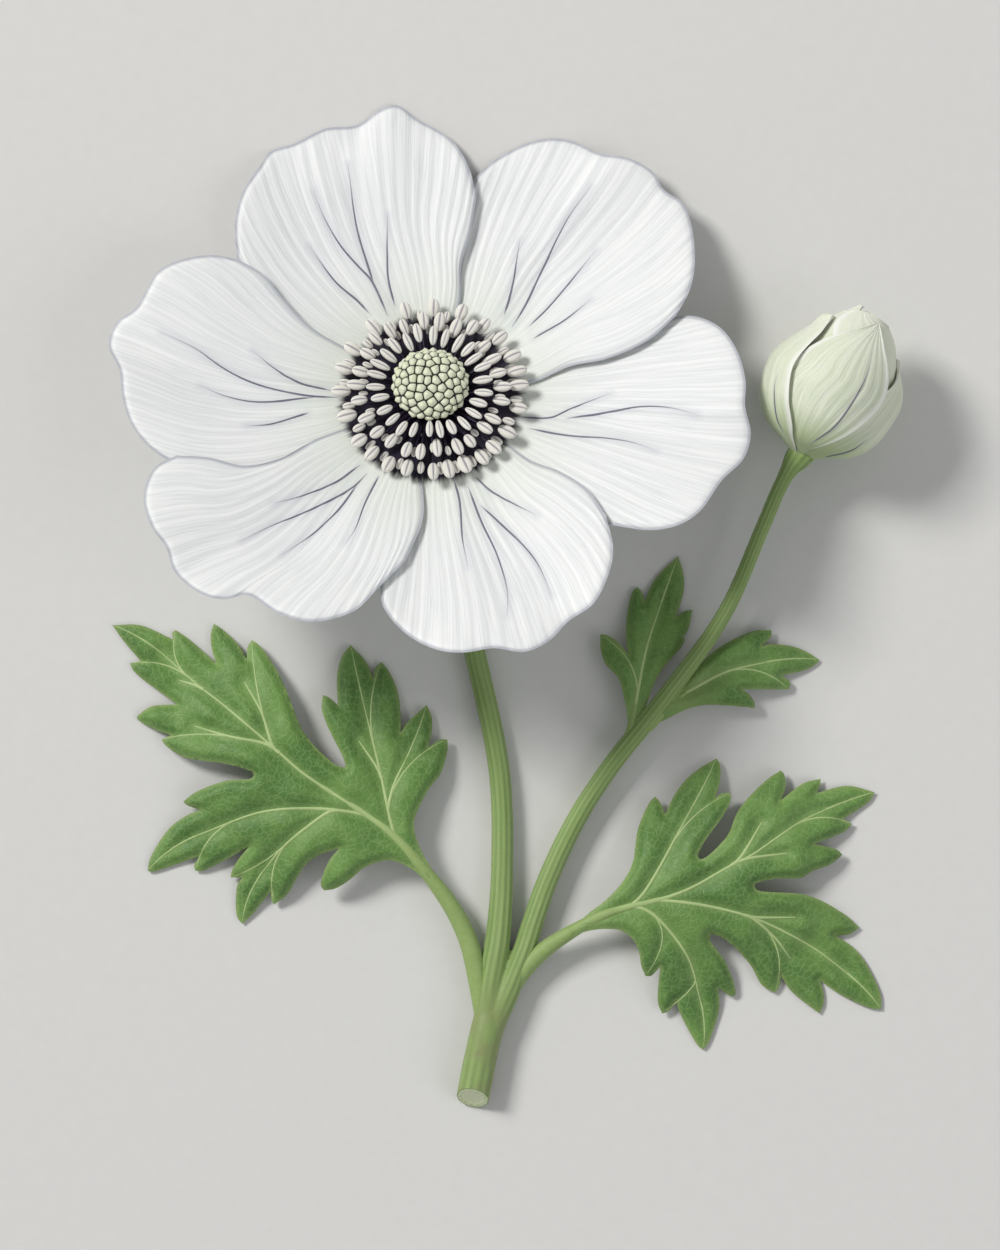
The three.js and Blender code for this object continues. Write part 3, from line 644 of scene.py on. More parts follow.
def petal_plan(petal, across, out):
    """The petal's grid in plan, of shape (rows, columns, 2)."""
    seat = curve_through(petal_seat(petal, [0, 0.5, 1]))
    rim = curve_through(petal["rim"])
    first = curve_through([seat[0], *petal["first_side"], rim[0]])
    second = curve_through([seat[-1], *petal["second_side"], rim[-1]])
    left, up = across[None, :, None], out[:, None, None]
    between = place_on(first, out)[:, None] * (1 - left) + place_on(second, out)[:, None] * left
    seat_bow = place_on(seat, across) - (seat[0] * (1 - left[0]) + seat[-1] * left[0])
    rim_bow = place_on(rim, across) - (rim[0] * (1 - left[0]) + rim[-1] * left[0])
    return between + seat_bow[None] * (1 - up) + rim_bow[None] * up


def resting(height, lowest):
    """The height, but smoothly kept from going below the lowest one."""
    return (height + lowest + np.sqrt((height - lowest) ** 2 + RESTING_SOFTNESS**2)) / 2


# %% Give them relief and thickness
HOLLOW_DEPTH = 0.9
KEEL_DEPTH = 0.35
FOLD_HEIGHT = 0.75
CRIMP_HEIGHT = 0.32
PETAL_RIBS = 23
PETAL_RIB_HEIGHT = 0.055
LAPPING_SHARE = (0.5, 0.86)
EDGE_ROLL = 0.3
EDGE_ROLL_WIDTH = 1
PETAL_THICKNESS = 0.3
RIM_THICKNESS = 0.14
RIM_WIDTH = 2


def petal_relief(across, out, turn):
    """The hollow, folds and ribs of one petal, in millimetres. `turn` makes each petal different."""
    middle = np.sin(np.pi * across) ** 2
    hollow = -HOLLOW_DEPTH * smoothstep(out, 0.1, 0.7)
    keel = -KEEL_DEPTH * np.exp(-((across - 0.5) / 0.06) ** 2) * smoothstep(out, 0.1, 0.6)
    folds = FOLD_HEIGHT * out * np.sin(2 * np.pi * (1.6 * across + turn) + 1.5 * out)
    crimps = CRIMP_HEIGHT * out**3 * np.sin(2 * np.pi * (4.3 * across + 2 * turn))
    sway = 0.25 * np.sin(4 * out + 6 * turn)
    rib_wave = np.sin(2 * np.pi * (PETAL_RIBS * across + sway))
    ribs = PETAL_RIB_HEIGHT * smoothstep(out, 0.05, 0.7) * rib_wave
    return middle * (hollow + keel + folds + crimps) + ribs


def petal_lift(petal, across, radius):
    """How far each point is raised or lowered, to lie over or under the neighbours."""
    first, second = petal["laps"]
    sides = first * smoothstep(1 - across, *LAPPING_SHARE) + second * smoothstep(across, *LAPPING_SHARE)
    return PETAL_LAP * sides * (0.6 * smoothstep(radius, 5, 10) + 0.4 * smoothstep(radius, 12, 26))


def petal_form(petal, turn):
    across = np.linspace(0, 1, PETAL_COLUMNS + 1)
    out = np.linspace(0, 1, PETAL_ROWS + 1)
    plan = petal_plan(petal, across, out)
    x, y = plan[..., 0], plan[..., 1]
    radius, _ = in_bloom_plane(x, y)
    left, up = np.meshgrid(across, out)
    borders = [plan[:, 0], plan[-1], plan[:, -1]]
    edge_gap = distance_to_lines(plan.reshape(-1, 2), borders).reshape(x.shape)
    rolled = -EDGE_ROLL * (1 - smoothstep(edge_gap, 0, EDGE_ROLL_WIDTH)) * smoothstep(up, 0.2, 0.4)
    height = bloom_height(x, y) + petal_lift(petal, across, radius) + petal_relief(left, up, turn)
    half = (RIM_THICKNESS + (PETAL_THICKNESS - RIM_THICKNESS) * smoothstep(edge_gap, 0, RIM_WIDTH)) / 2
    height = resting(height + rolled, SURFACE + PETAL_THICKNESS / 2)
    vein_gap = distance_to_lines(plan.reshape(-1, 2), [curve_through(v, 6) for v in petal["veins"]])
    return sheet(
        np.stack([x, y, height + half], -1), np.stack([x, y, height - half], -1),
        across=left, out=up, radius=radius, edge_gap=edge_gap, vein_gap=vein_gap.reshape(x.shape),
    )


# %% [markdown]
# ## Petal finishes
# A white anemone petal is satin, not chalk: fine cool veins fan out through it, it is a little
# greener near its foot, and at the very middle it is stained blue-black, with a feathered edge, so
# that the stamens stand on a dark ground. Its margin is the thinnest part. Along it runs a thin,
# darker grey-violet line of painted shade, which stands for the shading of the rolled edge and the
# shadows where petals overlap, and sets each petal off from the next. The back has a silky bloom of
# hairs, a faint grey-green flush along its middle and a green foot. Light passes through the thin
# tissue, which a little subsurface scattering gives.

# %% Petal finishes
STAIN = (0.016, 0.012, 0.03)
PETAL_TISSUE = {
    "Subsurface_Weight": 0.12, "Subsurface_Radius": (1.0, 0.95, 0.8), "Subsurface_Scale": 0.0012,
}


def fine_veins(finish, across, out, lines, sway):
    """Thin lines that run along a petal, from 0 between them to 1 on them."""
    wander = finish.noise(finish.vector(across * 3, out * 1.6), 1.5, 2)
    place = finish.vector(across * lines + wander * sway, out * 1.3)
    ridge = 1 - abs(finish.noise(place, 1.0, 2.5) * 2 - 1)
    return ridge ** 7


def petal_face():
    finish = Finish("satin_white_petal")
    across, out = finish.value("across"), finish.value("out")
    radius, vein_gap, edge_gap = [finish.value(name) for name in ("radius", "vein_gap", "edge_gap")]
    place = finish.millimetres()
    lines = fine_veins(finish, across, out, 54, 1.6)
    clouds = finish.noise(place, 0.16, 3)
    white = finish.blend(clouds, (0.92, 0.915, 0.895), (0.85, 0.87, 0.87))
    veined = finish.blend(lines * 0.45, white, (0.6, 0.64, 0.67))
    beside_vein = 1 - finish.fade(vein_gap, 0.0, 1.2)
    shaded = finish.blend(beside_vein * 0.35, veined, (0.55, 0.57, 0.64))
    foot = 1 - finish.fade(radius, 13, 26)
    greened = finish.blend(foot * 0.35, shaded, (0.72, 0.79, 0.62))
    # Painted shade: a thin dark grey-violet line along the margin stands for the shading of the rolled
    # edge and the shadows where petals overlap.
    rimmed = finish.blend((1 - finish.fade(edge_gap, 0.15, 0.6)) * 0.75, greened, (0.34, 0.36, 0.42))
    feather = finish.noise(finish.vector(across * 30, out * 2), 1.0, 2) * 2.4
    stain = 1 - finish.fade(radius + feather, 13.2, 14.6)
    colour = finish.blend(stain, rimmed, STAIN)
    cells = finish.noise(place, 5.5, 2)
    height = lines * 0.6 + cells * 0.25
    return finish.done(
        colour, 0.46 + cells * 0.16, finish.bump(height, 0.05, 0.7),
        Sheen_Weight=0.12, Sheen_Roughness=0.4, Specular_IOR_Level=0.4, **PETAL_TISSUE,
    )


def petal_back():
    finish = Finish("silky_petal_back")
    across, out, radius = finish.value("across"), finish.value("out"), finish.value("radius")
    place = finish.millimetres()
    lines = fine_veins(finish, across, out, 48, 1.6)
    middle = 1 - finish.fade(abs(across - 0.5), 0.02, 0.3)
    flush = middle * (1 - finish.fade(out, 0.25, 0.95))
    white = finish.blend(finish.noise(place, 0.2, 3), (0.88, 0.885, 0.86), (0.8, 0.83, 0.82))
    veined = finish.blend(lines * 0.5, white, (0.56, 0.6, 0.64))
    flushed = finish.blend(flush * 0.55, veined, (0.55, 0.6, 0.5))
    colour = finish.blend(1 - finish.fade(radius, 5, 11), flushed, (0.4, 0.5, 0.25))
    hairs = finish.noise(finish.vector(across * 160, out * 30), 1.0, 2)
    height = lines * 0.5 + hairs * 0.4
    return finish.done(
        colour, 0.55 + hairs * 0.15, finish.bump(height, 0.06, 0.8),
        Sheen_Weight=0.3, Sheen_Roughness=0.35, Specular_IOR_Level=0.35, **PETAL_TISSUE,
    )


def petal_vein():
    finish = Finish("violet_grey_vein")
    place = finish.millimetres()
    share = finish.value("share")
    tone = finish.noise(place, 0.9, 2)
    deep = finish.blend(tone, (0.13, 0.12, 0.18), (0.22, 0.22, 0.27))
    ends = (1 - finish.fade(share, 0.0, 0.1)) * 0.5 + finish.fade(share, 0.6, 1.0) * 0.7
    colour = finish.blend(ends, deep, (0.72, 0.74, 0.76))
    fibres = finish.noise(place, 9.0, 2)
    return finish.done(
        colour, 0.45 + fibres * 0.1, finish.bump(fibres, 0.03, 0.6), Specular_IOR_Level=0.35,
    )


# %% Grow the six petals
PETAL_VARIETY = 0.37
PETAL_VEIN_WIDTH = smooth_table([(0, 0.06), (0.12, 0.17), (0.5, 0.14), (0.85, 0.08), (1, 0.03)])

petal_finishes = [petal_face(), petal_back(), petal_vein()]
for number, (node, petal) in enumerate(PETALS.items()):
    form = with_veins(petal_form(petal, number * PETAL_VARIETY), petal["veins"], PETAL_VEIN_WIDTH)
    make_piece("white_" + node, form, petal_finishes, [node])
    print(node, len(form.points), "points")

# %% [markdown]
# ## Stamens
# Round the middle stand 126 stamens. Each is a thin dark filament that rises from the rim of the
# receptacle, leans out and carries an anther: two pollen sacs side by side, with a groove between
# them. One function grows a stamen in the bloom's frame from its foot, bend and tip, given as
# pairs of radius and height. The outermost ring keeps one piece for each stamen. The rings inside
# it are one piece each, and small half-hidden stamens fill the spaces between them.

# %% One stamen
FILAMENT_RADIUS = 0.2
FILAMENT_SIDES = 8
FILAMENT_STEPS = 12
ANTHER_SIDES = 20
ANTHER_RINGS = 16
GROOVE_DEPTH = 0.24
GROOVE_WIDTH = math.radians(26)


def turned(points, angle):
    """Points turned round the bloom's axis, still in the bloom's frame."""
    x, y, z = np.moveaxis(points, -1, 0)
    cosine, sine = np.cos(angle), np.sin(angle)
    return np.stack([x * cosine - y * sine, x * sine + y * cosine, z], -1)


def anther(middle, heading, length, width, thickness, tone):
    """Two pollen sacs with a groove between them, both above and below."""
    side = np.array([0.0, 1.0, 0.0])
    lift = np.cross(heading, side)
    along = (1 - np.cos(np.pi * np.linspace(0.02, 0.98, ANTHER_RINGS))) / 2
    girth = np.sin(np.pi * along) ** 0.4 * (0.93 + 0.1 * along)
    turn = way_round(ANTHER_SIDES)
    from_groove = np.minimum(abs(turn - np.pi / 2), abs(turn - 3 * np.pi / 2))
    dent = np.exp(-((from_groove / GROOVE_WIDTH) ** 2))
    reach = girth[:, None] * (1 - GROOVE_DEPTH * dent[None])
    points = (
        middle + heading * (length * (along - 0.5))[:, None, None]
        + side * (width / 2 * reach * np.cos(turn))[..., None]
        + lift * (thickness / 2 * reach * np.sin(turn))[..., None]
    )
    faces = ring_faces(ANTHER_RINGS, ANTHER_SIDES, inside_out=True)
    groove = np.broadcast_to(dent, reach.shape).ravel()
    return Form(points.reshape(-1, 3), faces, 1, groove=groove, tone=tone)


def stamen(foot, bend, tip, size, angle, tone):
    """A filament and its anther. `size` is the anther's length, width and thickness."""
    length = size[0]
    line = np.insert(bowed(foot, bend, tip, np.linspace(0, 1, 40)), 1, 0, axis=1)
    heading = (line[-1] - line[-6]) / np.linalg.norm(line[-1] - line[-6])
    middle = line[-1] - heading * length / 2
    stalk = place_on(line, np.linspace(0, 1 - 0.75 * length / length_of(line), FILAMENT_STEPS))
    radii = FILAMENT_RADIUS * np.linspace(1.15, 0.7, FILAMENT_STEPS)
    whole = joined([tube(stalk, radii, FILAMENT_SIDES), anther(middle, heading, *size, tone)])
    whole.points = from_bloom(turned(whole.points, angle))
    return whole


# %% [markdown]
# ## Stamen finishes
# The filaments are almost black, with a violet gloss. The anthers are dusted with pale pollen: a
# grainy, matt surface that is darker in the groove and differs a little from one to the next.

# %% Stamen finishes
def filament_finish():
    colours = (0.012, 0.01, 0.02), (0.035, 0.022, 0.055)
    return grained("dark_filament", (3.0, 3), colours, (0.38, 0.2), (0.06, 0.6), Specular_IOR_Level=0.3)


def anther_finish():
    finish = Finish("pollen_dusted_anther")
    place = finish.millimetres()
    groove, tone = finish.value("groove"), finish.value("tone")
    grains = finish.noise(place, 6.5, 3, 0.7)
    patches = finish.noise(place, 1.1, 2)
    pale = finish.blend(patches * 0.6 + tone * 0.4, (0.88, 0.86, 0.8), (0.74, 0.72, 0.66))
    dusted = finish.blend(finish.fade(grains, 0.5, 0.72) * 0.45, pale, (0.6, 0.57, 0.52))
    colour = finish.blend(finish.fade(groove, 0.55, 1.0) * 0.75, dusted, (0.16, 0.13, 0.2))
    return finish.done(
        colour, 0.72 + grains * 0.2, finish.bump(grains, 0.1, 0.8),
        Sheen_Weight=0.15, Sheen_Roughness=0.5, Specular_IOR_Level=0.25,
    )


stamen_finishes = [filament_finish(), anther_finish()]

# %% [markdown]
# ## Three rings of stamens
# The outer ring is uneven, as it grew, so its angles are listed, and a small stamen stands half
# hidden in each gap. The others are spread evenly and then disturbed a little by a seeded random
# generator, which gives the same flower every time.

# %% Grow the stamens
OUTER_STAMENS = [
    3, 13, 24, 39, 53, 70, 88, 106, 130, 150, 165, 181,
    199, 218, 230, 243, 255, 272, 282, 293, 305, 315, 329, 347,
]
OUTER = {"foot": (4.1, 1.2), "bend": (9, 2.6), "tip": (13.9, 3.2), "size": (2.75, 1.78, 1.35)}
MIDDLE = {"foot": (4.1, 2.0), "bend": (7.5, 3.8), "tip": (11.35, 4.3), "size": (2.6, 1.55, 1.15)}
INNER = {"foot": (4.1, 2.8), "bend": (5.8, 4.7), "tip": (8.85, 5.2), "size": (2.85, 1.15, 0.95)}
BETWEEN_OUTER = {"foot": (4.1, 1.2), "bend": (8.5, 1.9), "tip": (12.7, 2.0), "size": (1.8, 1.15, 0.9)}
BETWEEN_MIDDLE = {"foot": (4.1, 1.8), "bend": (7.4, 3.0), "tip": (10.1, 3.2), "size": (1.5, 0.85, 0.7)}
STAMENS_IN_RING = 26
chance = np.random.default_rng(11)


def grown_stamen(kind, angle, spread=0.25):
    """A stamen of this kind, a little longer or shorter and higher or lower than its neighbours."""
    longer, higher = chance.normal(0, spread), chance.normal(0, spread * 0.5)
    tip = (kind["tip"][0] + longer, kind["tip"][1] + higher)
    bend = (kind["bend"][0] + longer / 2, kind["bend"][1] + higher)
    size = tuple(part * chance.normal(1, 0.06) for part in kind["size"])
    return stamen(kind["foot"], bend, tip, size, angle, chance.random())


def whorl(kind, wander, offset=0.0):
    """A ring of stamens, each of them off its even place by up to `wander` of the spacing."""
    step = 2 * np.pi / STAMENS_IN_RING
    places = range(STAMENS_IN_RING)
    return [grown_stamen(kind, (i + offset + chance.uniform(-wander, wander)) * step) for i in places]


for number, degrees in enumerate(OUTER_STAMENS, 1):
    form = grown_stamen(OUTER, math.radians(degrees), 0.12)
    node = f"stamen_outer_{number:02d}"
    make_piece("grown_" + node, form, stamen_finishes, [node])

gaps = np.diff([*OUTER_STAMENS, OUTER_STAMENS[0] + 360])
halfway = np.radians(OUTER_STAMENS + gaps / 2)
hidden = [grown_stamen(BETWEEN_OUTER, angle, 0.3) for angle in halfway]
middle_ring = joined(whorl(MIDDLE, 0.16) + whorl(BETWEEN_MIDDLE, 0.2, 0.5) + hidden)
make_piece("grown_stamens_middle", middle_ring, stamen_finishes, ["stamen_whorl_middle"])
inner_ring = joined(whorl(INNER, 0.16, 0.3))
make_piece("grown_stamens_inner", inner_ring, stamen_finishes, ["stamen_whorl_inner"])
print("stamens:", len(OUTER_STAMENS) + len(hidden) + STAMENS_IN_RING * 3)

# %% [markdown]
# ## The boss of pistils
# In the middle sits a dome of packed pistils, like a small raspberry. It could be a hundred separate
# beads, but they press against each other into rounded, many-sided cells. So the dome is one
# surface of revolution, and each point of it is raised by how much nearer it is to its own seed
# than to the next one. Seeds are laid out by the golden angle and nudged at random.

# %% The boss
BOSS_PROFILE = [(3.2, 3.9), (4.9, 4.15), (5.35, 4.75), (5.05, 5.5), (4.2, 6.4), (2.6, 7.15), (0.01, 7.5)]
BOSS_SEEDS = 118
GOLDEN_ANGLE = math.pi * (3 - math.sqrt(5))
BOSS_ROWS = 150
BOSS_COLUMNS = 260
PISTIL_HEIGHT = 0.62
PISTIL_RISE = 0.2
STIGMA_HEIGHT = 0.12


def pistil_seeds(section):
    """The middles of the pistils, evenly spread over the dome that the section makes."""
    area = np.cumsum(section[:, 0])
    share = (np.arange(BOSS_SEEDS) + 0.5) / BOSS_SEEDS
    radius, height = section[np.searchsorted(area / area[-1], share)].T
    turn = np.arange(BOSS_SEEDS) * GOLDEN_ANGLE + chance.normal(0, 0.05, BOSS_SEEDS)
    seeds = spun(radius, height, turn)
    return seeds + chance.normal(0, 0.1, seeds.shape)


def boss_form():
    section = place_on(curve_through(BOSS_PROFILE, 24), np.linspace(0, 1, BOSS_ROWS))
    dome = spun(section[:, :1], section[:, 1:], way_round(BOSS_COLUMNS))
    far = np.linalg.norm(dome[:, :, None] - pistil_seeds(section), axis=-1)
    far.sort(axis=-1)
    to_border = 2 * far[..., 0] / (far[..., 0] + far[..., 1])
    rounded = (1 - to_border**2.4) ** 0.6
    stigma = STIGMA_HEIGHT * np.exp(-((to_border / 0.2) ** 2))
    normal = np.cross(np.gradient(dome, axis=1), np.gradient(dome, axis=0))
    normal /= np.maximum(np.linalg.norm(normal, axis=-1, keepdims=True), 1e-9)
    points = dome + normal * (PISTIL_HEIGHT * (rounded - 1) + PISTIL_RISE + stigma)[..., None]
    faces = ring_faces(BOSS_ROWS, BOSS_COLUMNS)
    return Form(from_bloom(points.reshape(-1, 3)), faces, 0, inside=1 - to_border.ravel())


def boss_finish():
    finish = Finish("packed_pale_pistils")
    place = finish.millimetres()
    inside = finish.value("inside")
    grain = finish.noise(place, 3.0, 3)
    tint = finish.noise(place, 0.7, 2)
    pale = finish.blend(tint, (0.8, 0.8, 0.66), (0.62, 0.68, 0.46))
    speckled = finish.blend(finish.fade(grain, 0.55, 0.8) * 0.4, pale, (0.45, 0.5, 0.3))
    tipped = finish.blend(finish.fade(inside, 0.8, 0.95) * 0.5, speckled, (0.86, 0.84, 0.62))
    colour = finish.blend(finish.fade(inside, 0.05, 0.2), (0.012, 0.012, 0.016), tipped)
    return finish.done(
        colour, 0.42 + grain * 0.2, finish.bump(grain, 0.08, 0.5),
        Subsurface_Weight=0.08, Subsurface_Radius=(0.6, 0.8, 0.3), Subsurface_Scale=0.0008,
        Specular_IOR_Level=0.45,
    )


boss = boss_form()
make_piece("boss_of_pistils", boss, [boss_finish()], ["pistil_boss"])
print("boss:", len(boss.points), "points")

# %% [markdown]
# ## The branched stem
# Lower stem, bloom stalk, bud stalk and receptacle grew as one piece, so they must flow into each
# other with no seam at the fork. Each is first a tube of its own. A voxel remesh then fuses them
# into one skin and a short smoothing rounds the crotches, which would be slow work by hand. The
# slanting cut at the foot is sliced after that, so that its edge stays crisp.

# %% Stalks as tubes
STEM_RADIUS = 2.25
LOWER_STEM = [
    (4.9, -106, STEM_RADIUS), (6.6, -97, STEM_RADIUS), (7.9, -90.5, STEM_RADIUS), (8.5, -86.5, 2.2),
]
BLOOM_STALK = [
    (7.3, -94, STEM_RADIUS), (7.9, -90, STEM_RADIUS), (8.3, -85, 2.15), (9, -81, 2.05),
    (9.6, -77, 1.95), (10.1, -68, 1.65), (9.7, -54, 1.5), (6.3, -37.5, 1.5), (3.2, -24, 1.5),
    (1, -13, 1.6), (0.4, -7.1, 2.5), (0.1, -4, 4.4),
]
BUD_STALK = [
    (7.6, -94, STEM_RADIUS), (8.7, -90, STEM_RADIUS), (11.3, -84.3, 2.2), (13.3, -79.2, 2.1),
    (14.3, -76, 2), (16.7, -69.2, 1.9), (20.6, -61, 2), (25.3, -53.7, 2.4), (33.6, -43.1, 3.6),
    (41.6, -31.7, 5.3), (47, -19.4, 7), (49.3, -14, 7.75), (50.8, -11.2, 8.1), (52.3, -9.2, 8.3),
]
BUD_FOOT = np.array([52.3, -9.4, 8.3])
BUD_POINT = np.array([61.6, 11.4, 10])
BUD_AXIS = (BUD_POINT - BUD_FOOT) / np.linalg.norm(BUD_POINT - BUD_FOOT)

# Pairs of height along the axis of the bloom or the bud, and radius there.
RECEPTACLE_PROFILE = [
    (-3.4, 1.5), (-2.4, 1.9), (-1.4, 3.3), (-0.85, 5.1), (-0.5, 5.6), (-0.35, 4.6), (0.8, 4.3),
    (3.6, 3.9),
]
COLLAR_PROFILE = [(-0.5, 1.7), (-0.2, 1.95), (0.35, 2), (0.8, 1.6), (1, 1)]
RECEPTACLE_SIDES = 48
STALK_SIDES = 32
STALK_STEP = 0.4


def stalk_along(points, radii):
    """The dense line of a stalk and its radius there. Radii are pairs of share of length and radius."""
    line = curve_through(points)
    fractions = np.linspace(0, 1, round(length_of(line) / STALK_STEP) + 1)
    return place_on(line, fractions), smooth_table(radii)(fractions)


neck = from_bloom((0, 0, RECEPTACLE_PROFILE[1][0]))
STALKS = [
    stalk_along(LOWER_STEM, [(0, STEM_RADIUS), (0.72, 2.3), (0.88, 2.05), (1, 1.4)]),
    stalk_along(
        [*BLOOM_STALK, tuple(neck)],
        [(0, 1.8), (0.05, 1.95), (0.13, 1.9), (0.2, 1.7), (0.3, 1.52), (1, 1.5)],
    ),
    stalk_along(BUD_STALK, [
        (0, 1.8), (0.05, 1.9), (0.11, 1.68), (0.17, 1.55), (0.3, 1.42), (0.45, 1.3), (0.55, 1.32),
        (0.66, 1.15), (0.8, 1.04), (0.92, 1.02), (0.955, 1.06), (0.973, 1.3), (0.987, 1.75), (1, 1.9),
    ]),
]
receptacle_line = from_bloom([(0, 0, height) for height, _ in RECEPTACLE_PROFILE])
receptacle = tube(receptacle_line, [radius for _, radius in RECEPTACLE_PROFILE], RECEPTACLE_SIDES)
collar_line = np.array([BUD_FOOT + BUD_AXIS * height for height, _ in COLLAR_PROFILE])
collar = tube(collar_line, [radius for _, radius in COLLAR_PROFILE], STALK_SIDES)
print("stalks, mm long:", [round(length_of(line), 1) for line, _ in STALKS])

# %% Fuse them and make the cut
STEM_VOXEL = 0.2
STEM_SMOOTHING = 6
CUT_SLANT = math.radians(31)
CUT_TURN = math.radians(-13)
CUT_PLACE = np.array([5.9, -100.4, STEM_RADIUS])
cut_facing = np.array([
    math.cos(CUT_SLANT) * math.sin(CUT_TURN),
    -math.cos(CUT_SLANT) * math.cos(CUT_TURN),
    math.sin(CUT_SLANT),
])


def fused(form):
    """One closed skin round everything in the form."""
    mesh = bpy.data.meshes.new("unfused")
    mesh.from_pydata(form.points, [], form.faces)
    lump = bpy.data.objects.new("unfused", mesh)
    bpy.context.scene.collection.objects.link(lump)
    remesh = lump.modifiers.new("fuse", "REMESH")
    remesh.mode = "VOXEL"
    remesh.voxel_size = STEM_VOXEL
    smooth = lump.modifiers.new("smooth", "SMOOTH")
    smooth.iterations = STEM_SMOOTHING
    skin = bmesh.new()
    skin.from_object(lump, bpy.context.evaluated_depsgraph_get())
    bpy.data.objects.remove(lump)
    bpy.data.meshes.remove(mesh)
    return skin


stalks = [tube(line, radii, STALK_SIDES) for line, radii in STALKS]
skin = fused(joined([*stalks, receptacle, collar]))
everything = skin.verts[:] + skin.edges[:] + skin.faces[:]
bmesh.ops.bisect_plane(skin, geom=everything, plane_co=CUT_PLACE, plane_no=cut_facing, clear_outer=True)
skin.verts.index_update()
stem_points = np.array([vertex.co[:] for vertex in skin.verts])
stem_faces = [tuple(vertex.index for vertex in face.verts) for face in skin.faces]
open_edges = [tuple(vertex.index for vertex in edge.verts) for edge in skin.edges if edge.is_boundary]
skin.normal_update()
stem_normals = np.array([vertex.normal[:] for vertex in skin.verts])
skin.free()
print("stem skin:", len(stem_points), "points,", len(open_edges), "edges round the cut")

# %% [markdown]
# ## Ribs along the stem
# An anemone stalk is finely ribbed. Each point of the skin looks up the nearest stalk line, which
# tells it how far along and how far round the stalk it is. Ribs are a cosine of the way round. They
# fade out at the fork, where two stalks claim the same skin.

# %% Ribs and where each point is
STEM_RIBS = 11
STEM_RIB_HEIGHT = 0.055
FORK_FADE = 1.6
RECEPTACLE_REACH = 7


def nearest_stalk(points):
    """For each point: how far along and round its stalk it is, and how clearly it belongs to it."""
    away = np.empty((len(STALKS), len(points)))
    along = np.empty_like(away)
    around = np.empty_like(away)
    for k, (line, radii) in enumerate(STALKS):
        tree = kdtree.KDTree(len(line))
        for i, place in enumerate(line):
            tree.insert(place, i)
        tree.balance()
        across, lift = carried_directions(line)
        nearest = np.array([tree.find(point)[1] for point in points])
        spoke = points - line[nearest]
        away[k] = np.linalg.norm(spoke, axis=1) - radii[nearest]
        along[k] = nearest * STALK_STEP
        around[k] = np.arctan2((spoke * lift[nearest]).sum(1), (spoke * across[nearest]).sum(1))
    own = away.argmin(axis=0)
    ordered = np.sort(away, axis=0)
    column = np.arange(len(points))
    clear = smoothstep(ordered[1] - ordered[0], 0, FORK_FADE)
    return along[own, column], around[own, column], clear


stem_along, stem_around, stem_clear = nearest_stalk(stem_points)
above_petals = (stem_points - from_bloom((0, 0, 0))) @ [0, math.sin(BLOOM_TILT), math.cos(BLOOM_TILT)]
near_bloom = np.linalg.norm(stem_points - from_bloom((0, 0, 1)), axis=1) < RECEPTACLE_REACH
stain_value = np.where(near_bloom, smoothstep(above_petals, -0.85, -0.6), 0)
rib_wave = np.cos(STEM_RIBS * stem_around + 0.6 * np.sin(stem_along * 0.15))
ribs = STEM_RIB_HEIGHT * rib_wave * stem_clear * (1 - stain_value)
stem_points = stem_points + stem_normals * ribs[:, None]
print("ribs stand", STEM_RIB_HEIGHT * 2, "mm high")

# %% [markdown]
# ## The cut face
# The knife left a slanting, slightly hollow face: green skin outside, a pale watery pith inside, and
# a ring of small fibre bundles between them. It is filled with rings that shrink from the cut's
# edge to its middle.

# %% Close the cut
CUT_RINGS = 14
CUT_HOLLOW = 0.22
CUT_LIP = 0.07
BUNDLES = 13
BUNDLE_HEIGHT = 0.05
BUNDLE_RING = 0.24


def loop_of(edges):
    """The corners of a closed loop, in order."""
    beside = {}
    for a, b in edges:
        beside.setdefault(a, []).append(b)
        beside.setdefault(b, []).append(a)
    loop = [edges[0][0]]
    before = None
    while True:
        following = [n for n in beside[loop[-1]] if n != before]
        before = loop[-1]
        if following[0] == loop[0]:
            return loop
        loop.append(following[0])


def cut_face_form(edge_points):
    """Rings from the edge, whose share is 0, to a last point in the middle, whose share is 1."""
    count = len(edge_points)
    centre = edge_points.mean(axis=0)
    inward = np.linspace(0, 1, CUT_RINGS + 1)[:-1]
    angle = way_round(count)
    rings = [edge_points]
    for share in inward[1:]:
        lip = CUT_LIP * np.exp(-((share - 0.22) / 0.08) ** 2)
        bundles = BUNDLE_HEIGHT * np.exp(-((share - BUNDLE_RING) / 0.07) ** 2) * np.cos(BUNDLES * angle)
        level = -CUT_HOLLOW * smoothstep(share, 0.05, 0.75) + lip + bundles
        rings.append(centre + (edge_points - centre) * (1 - share) + cut_facing * level[:, None])
    points = np.vstack([*rings, [centre - cut_facing * CUT_HOLLOW]])
    *walls, _, last_ring = ring_faces(CUT_RINGS, count)
    middle = [(a, b, len(points) - 1) for a, b in zip(last_ring, np.roll(last_ring, -1))]
    cut_share = np.append(np.repeat(inward, count), 1.0)
    cut_turn = np.append(np.tile(angle, CUT_RINGS), 0.0)
    form = Form(points, walls + middle, 1, cut_share=cut_share, cut_turn=cut_turn)
    first = form.faces[0]
    normal = np.cross(points[first[1]] - points[first[0]], points[first[2]] - points[first[0]])
    if normal @ cut_facing < 0:
        form.faces = [face[::-1] for face in form.faces]
    return form


cut_face = cut_face_form(stem_points[loop_of(open_edges)])

# %% [markdown]
# ## Stem finishes
# The skin is a soft yellow-green with darker lines between the ribs, a little purple near the cut
# and fine pale hairs. At the top of the bloom stalk it turns black, where the stamens grow.

# %% Stem finishes
STEM_GREEN = (0.22, 0.34, 0.09)
STEM_PALE_GREEN = (0.34, 0.45, 0.17)
BLUSH_REACH = 16


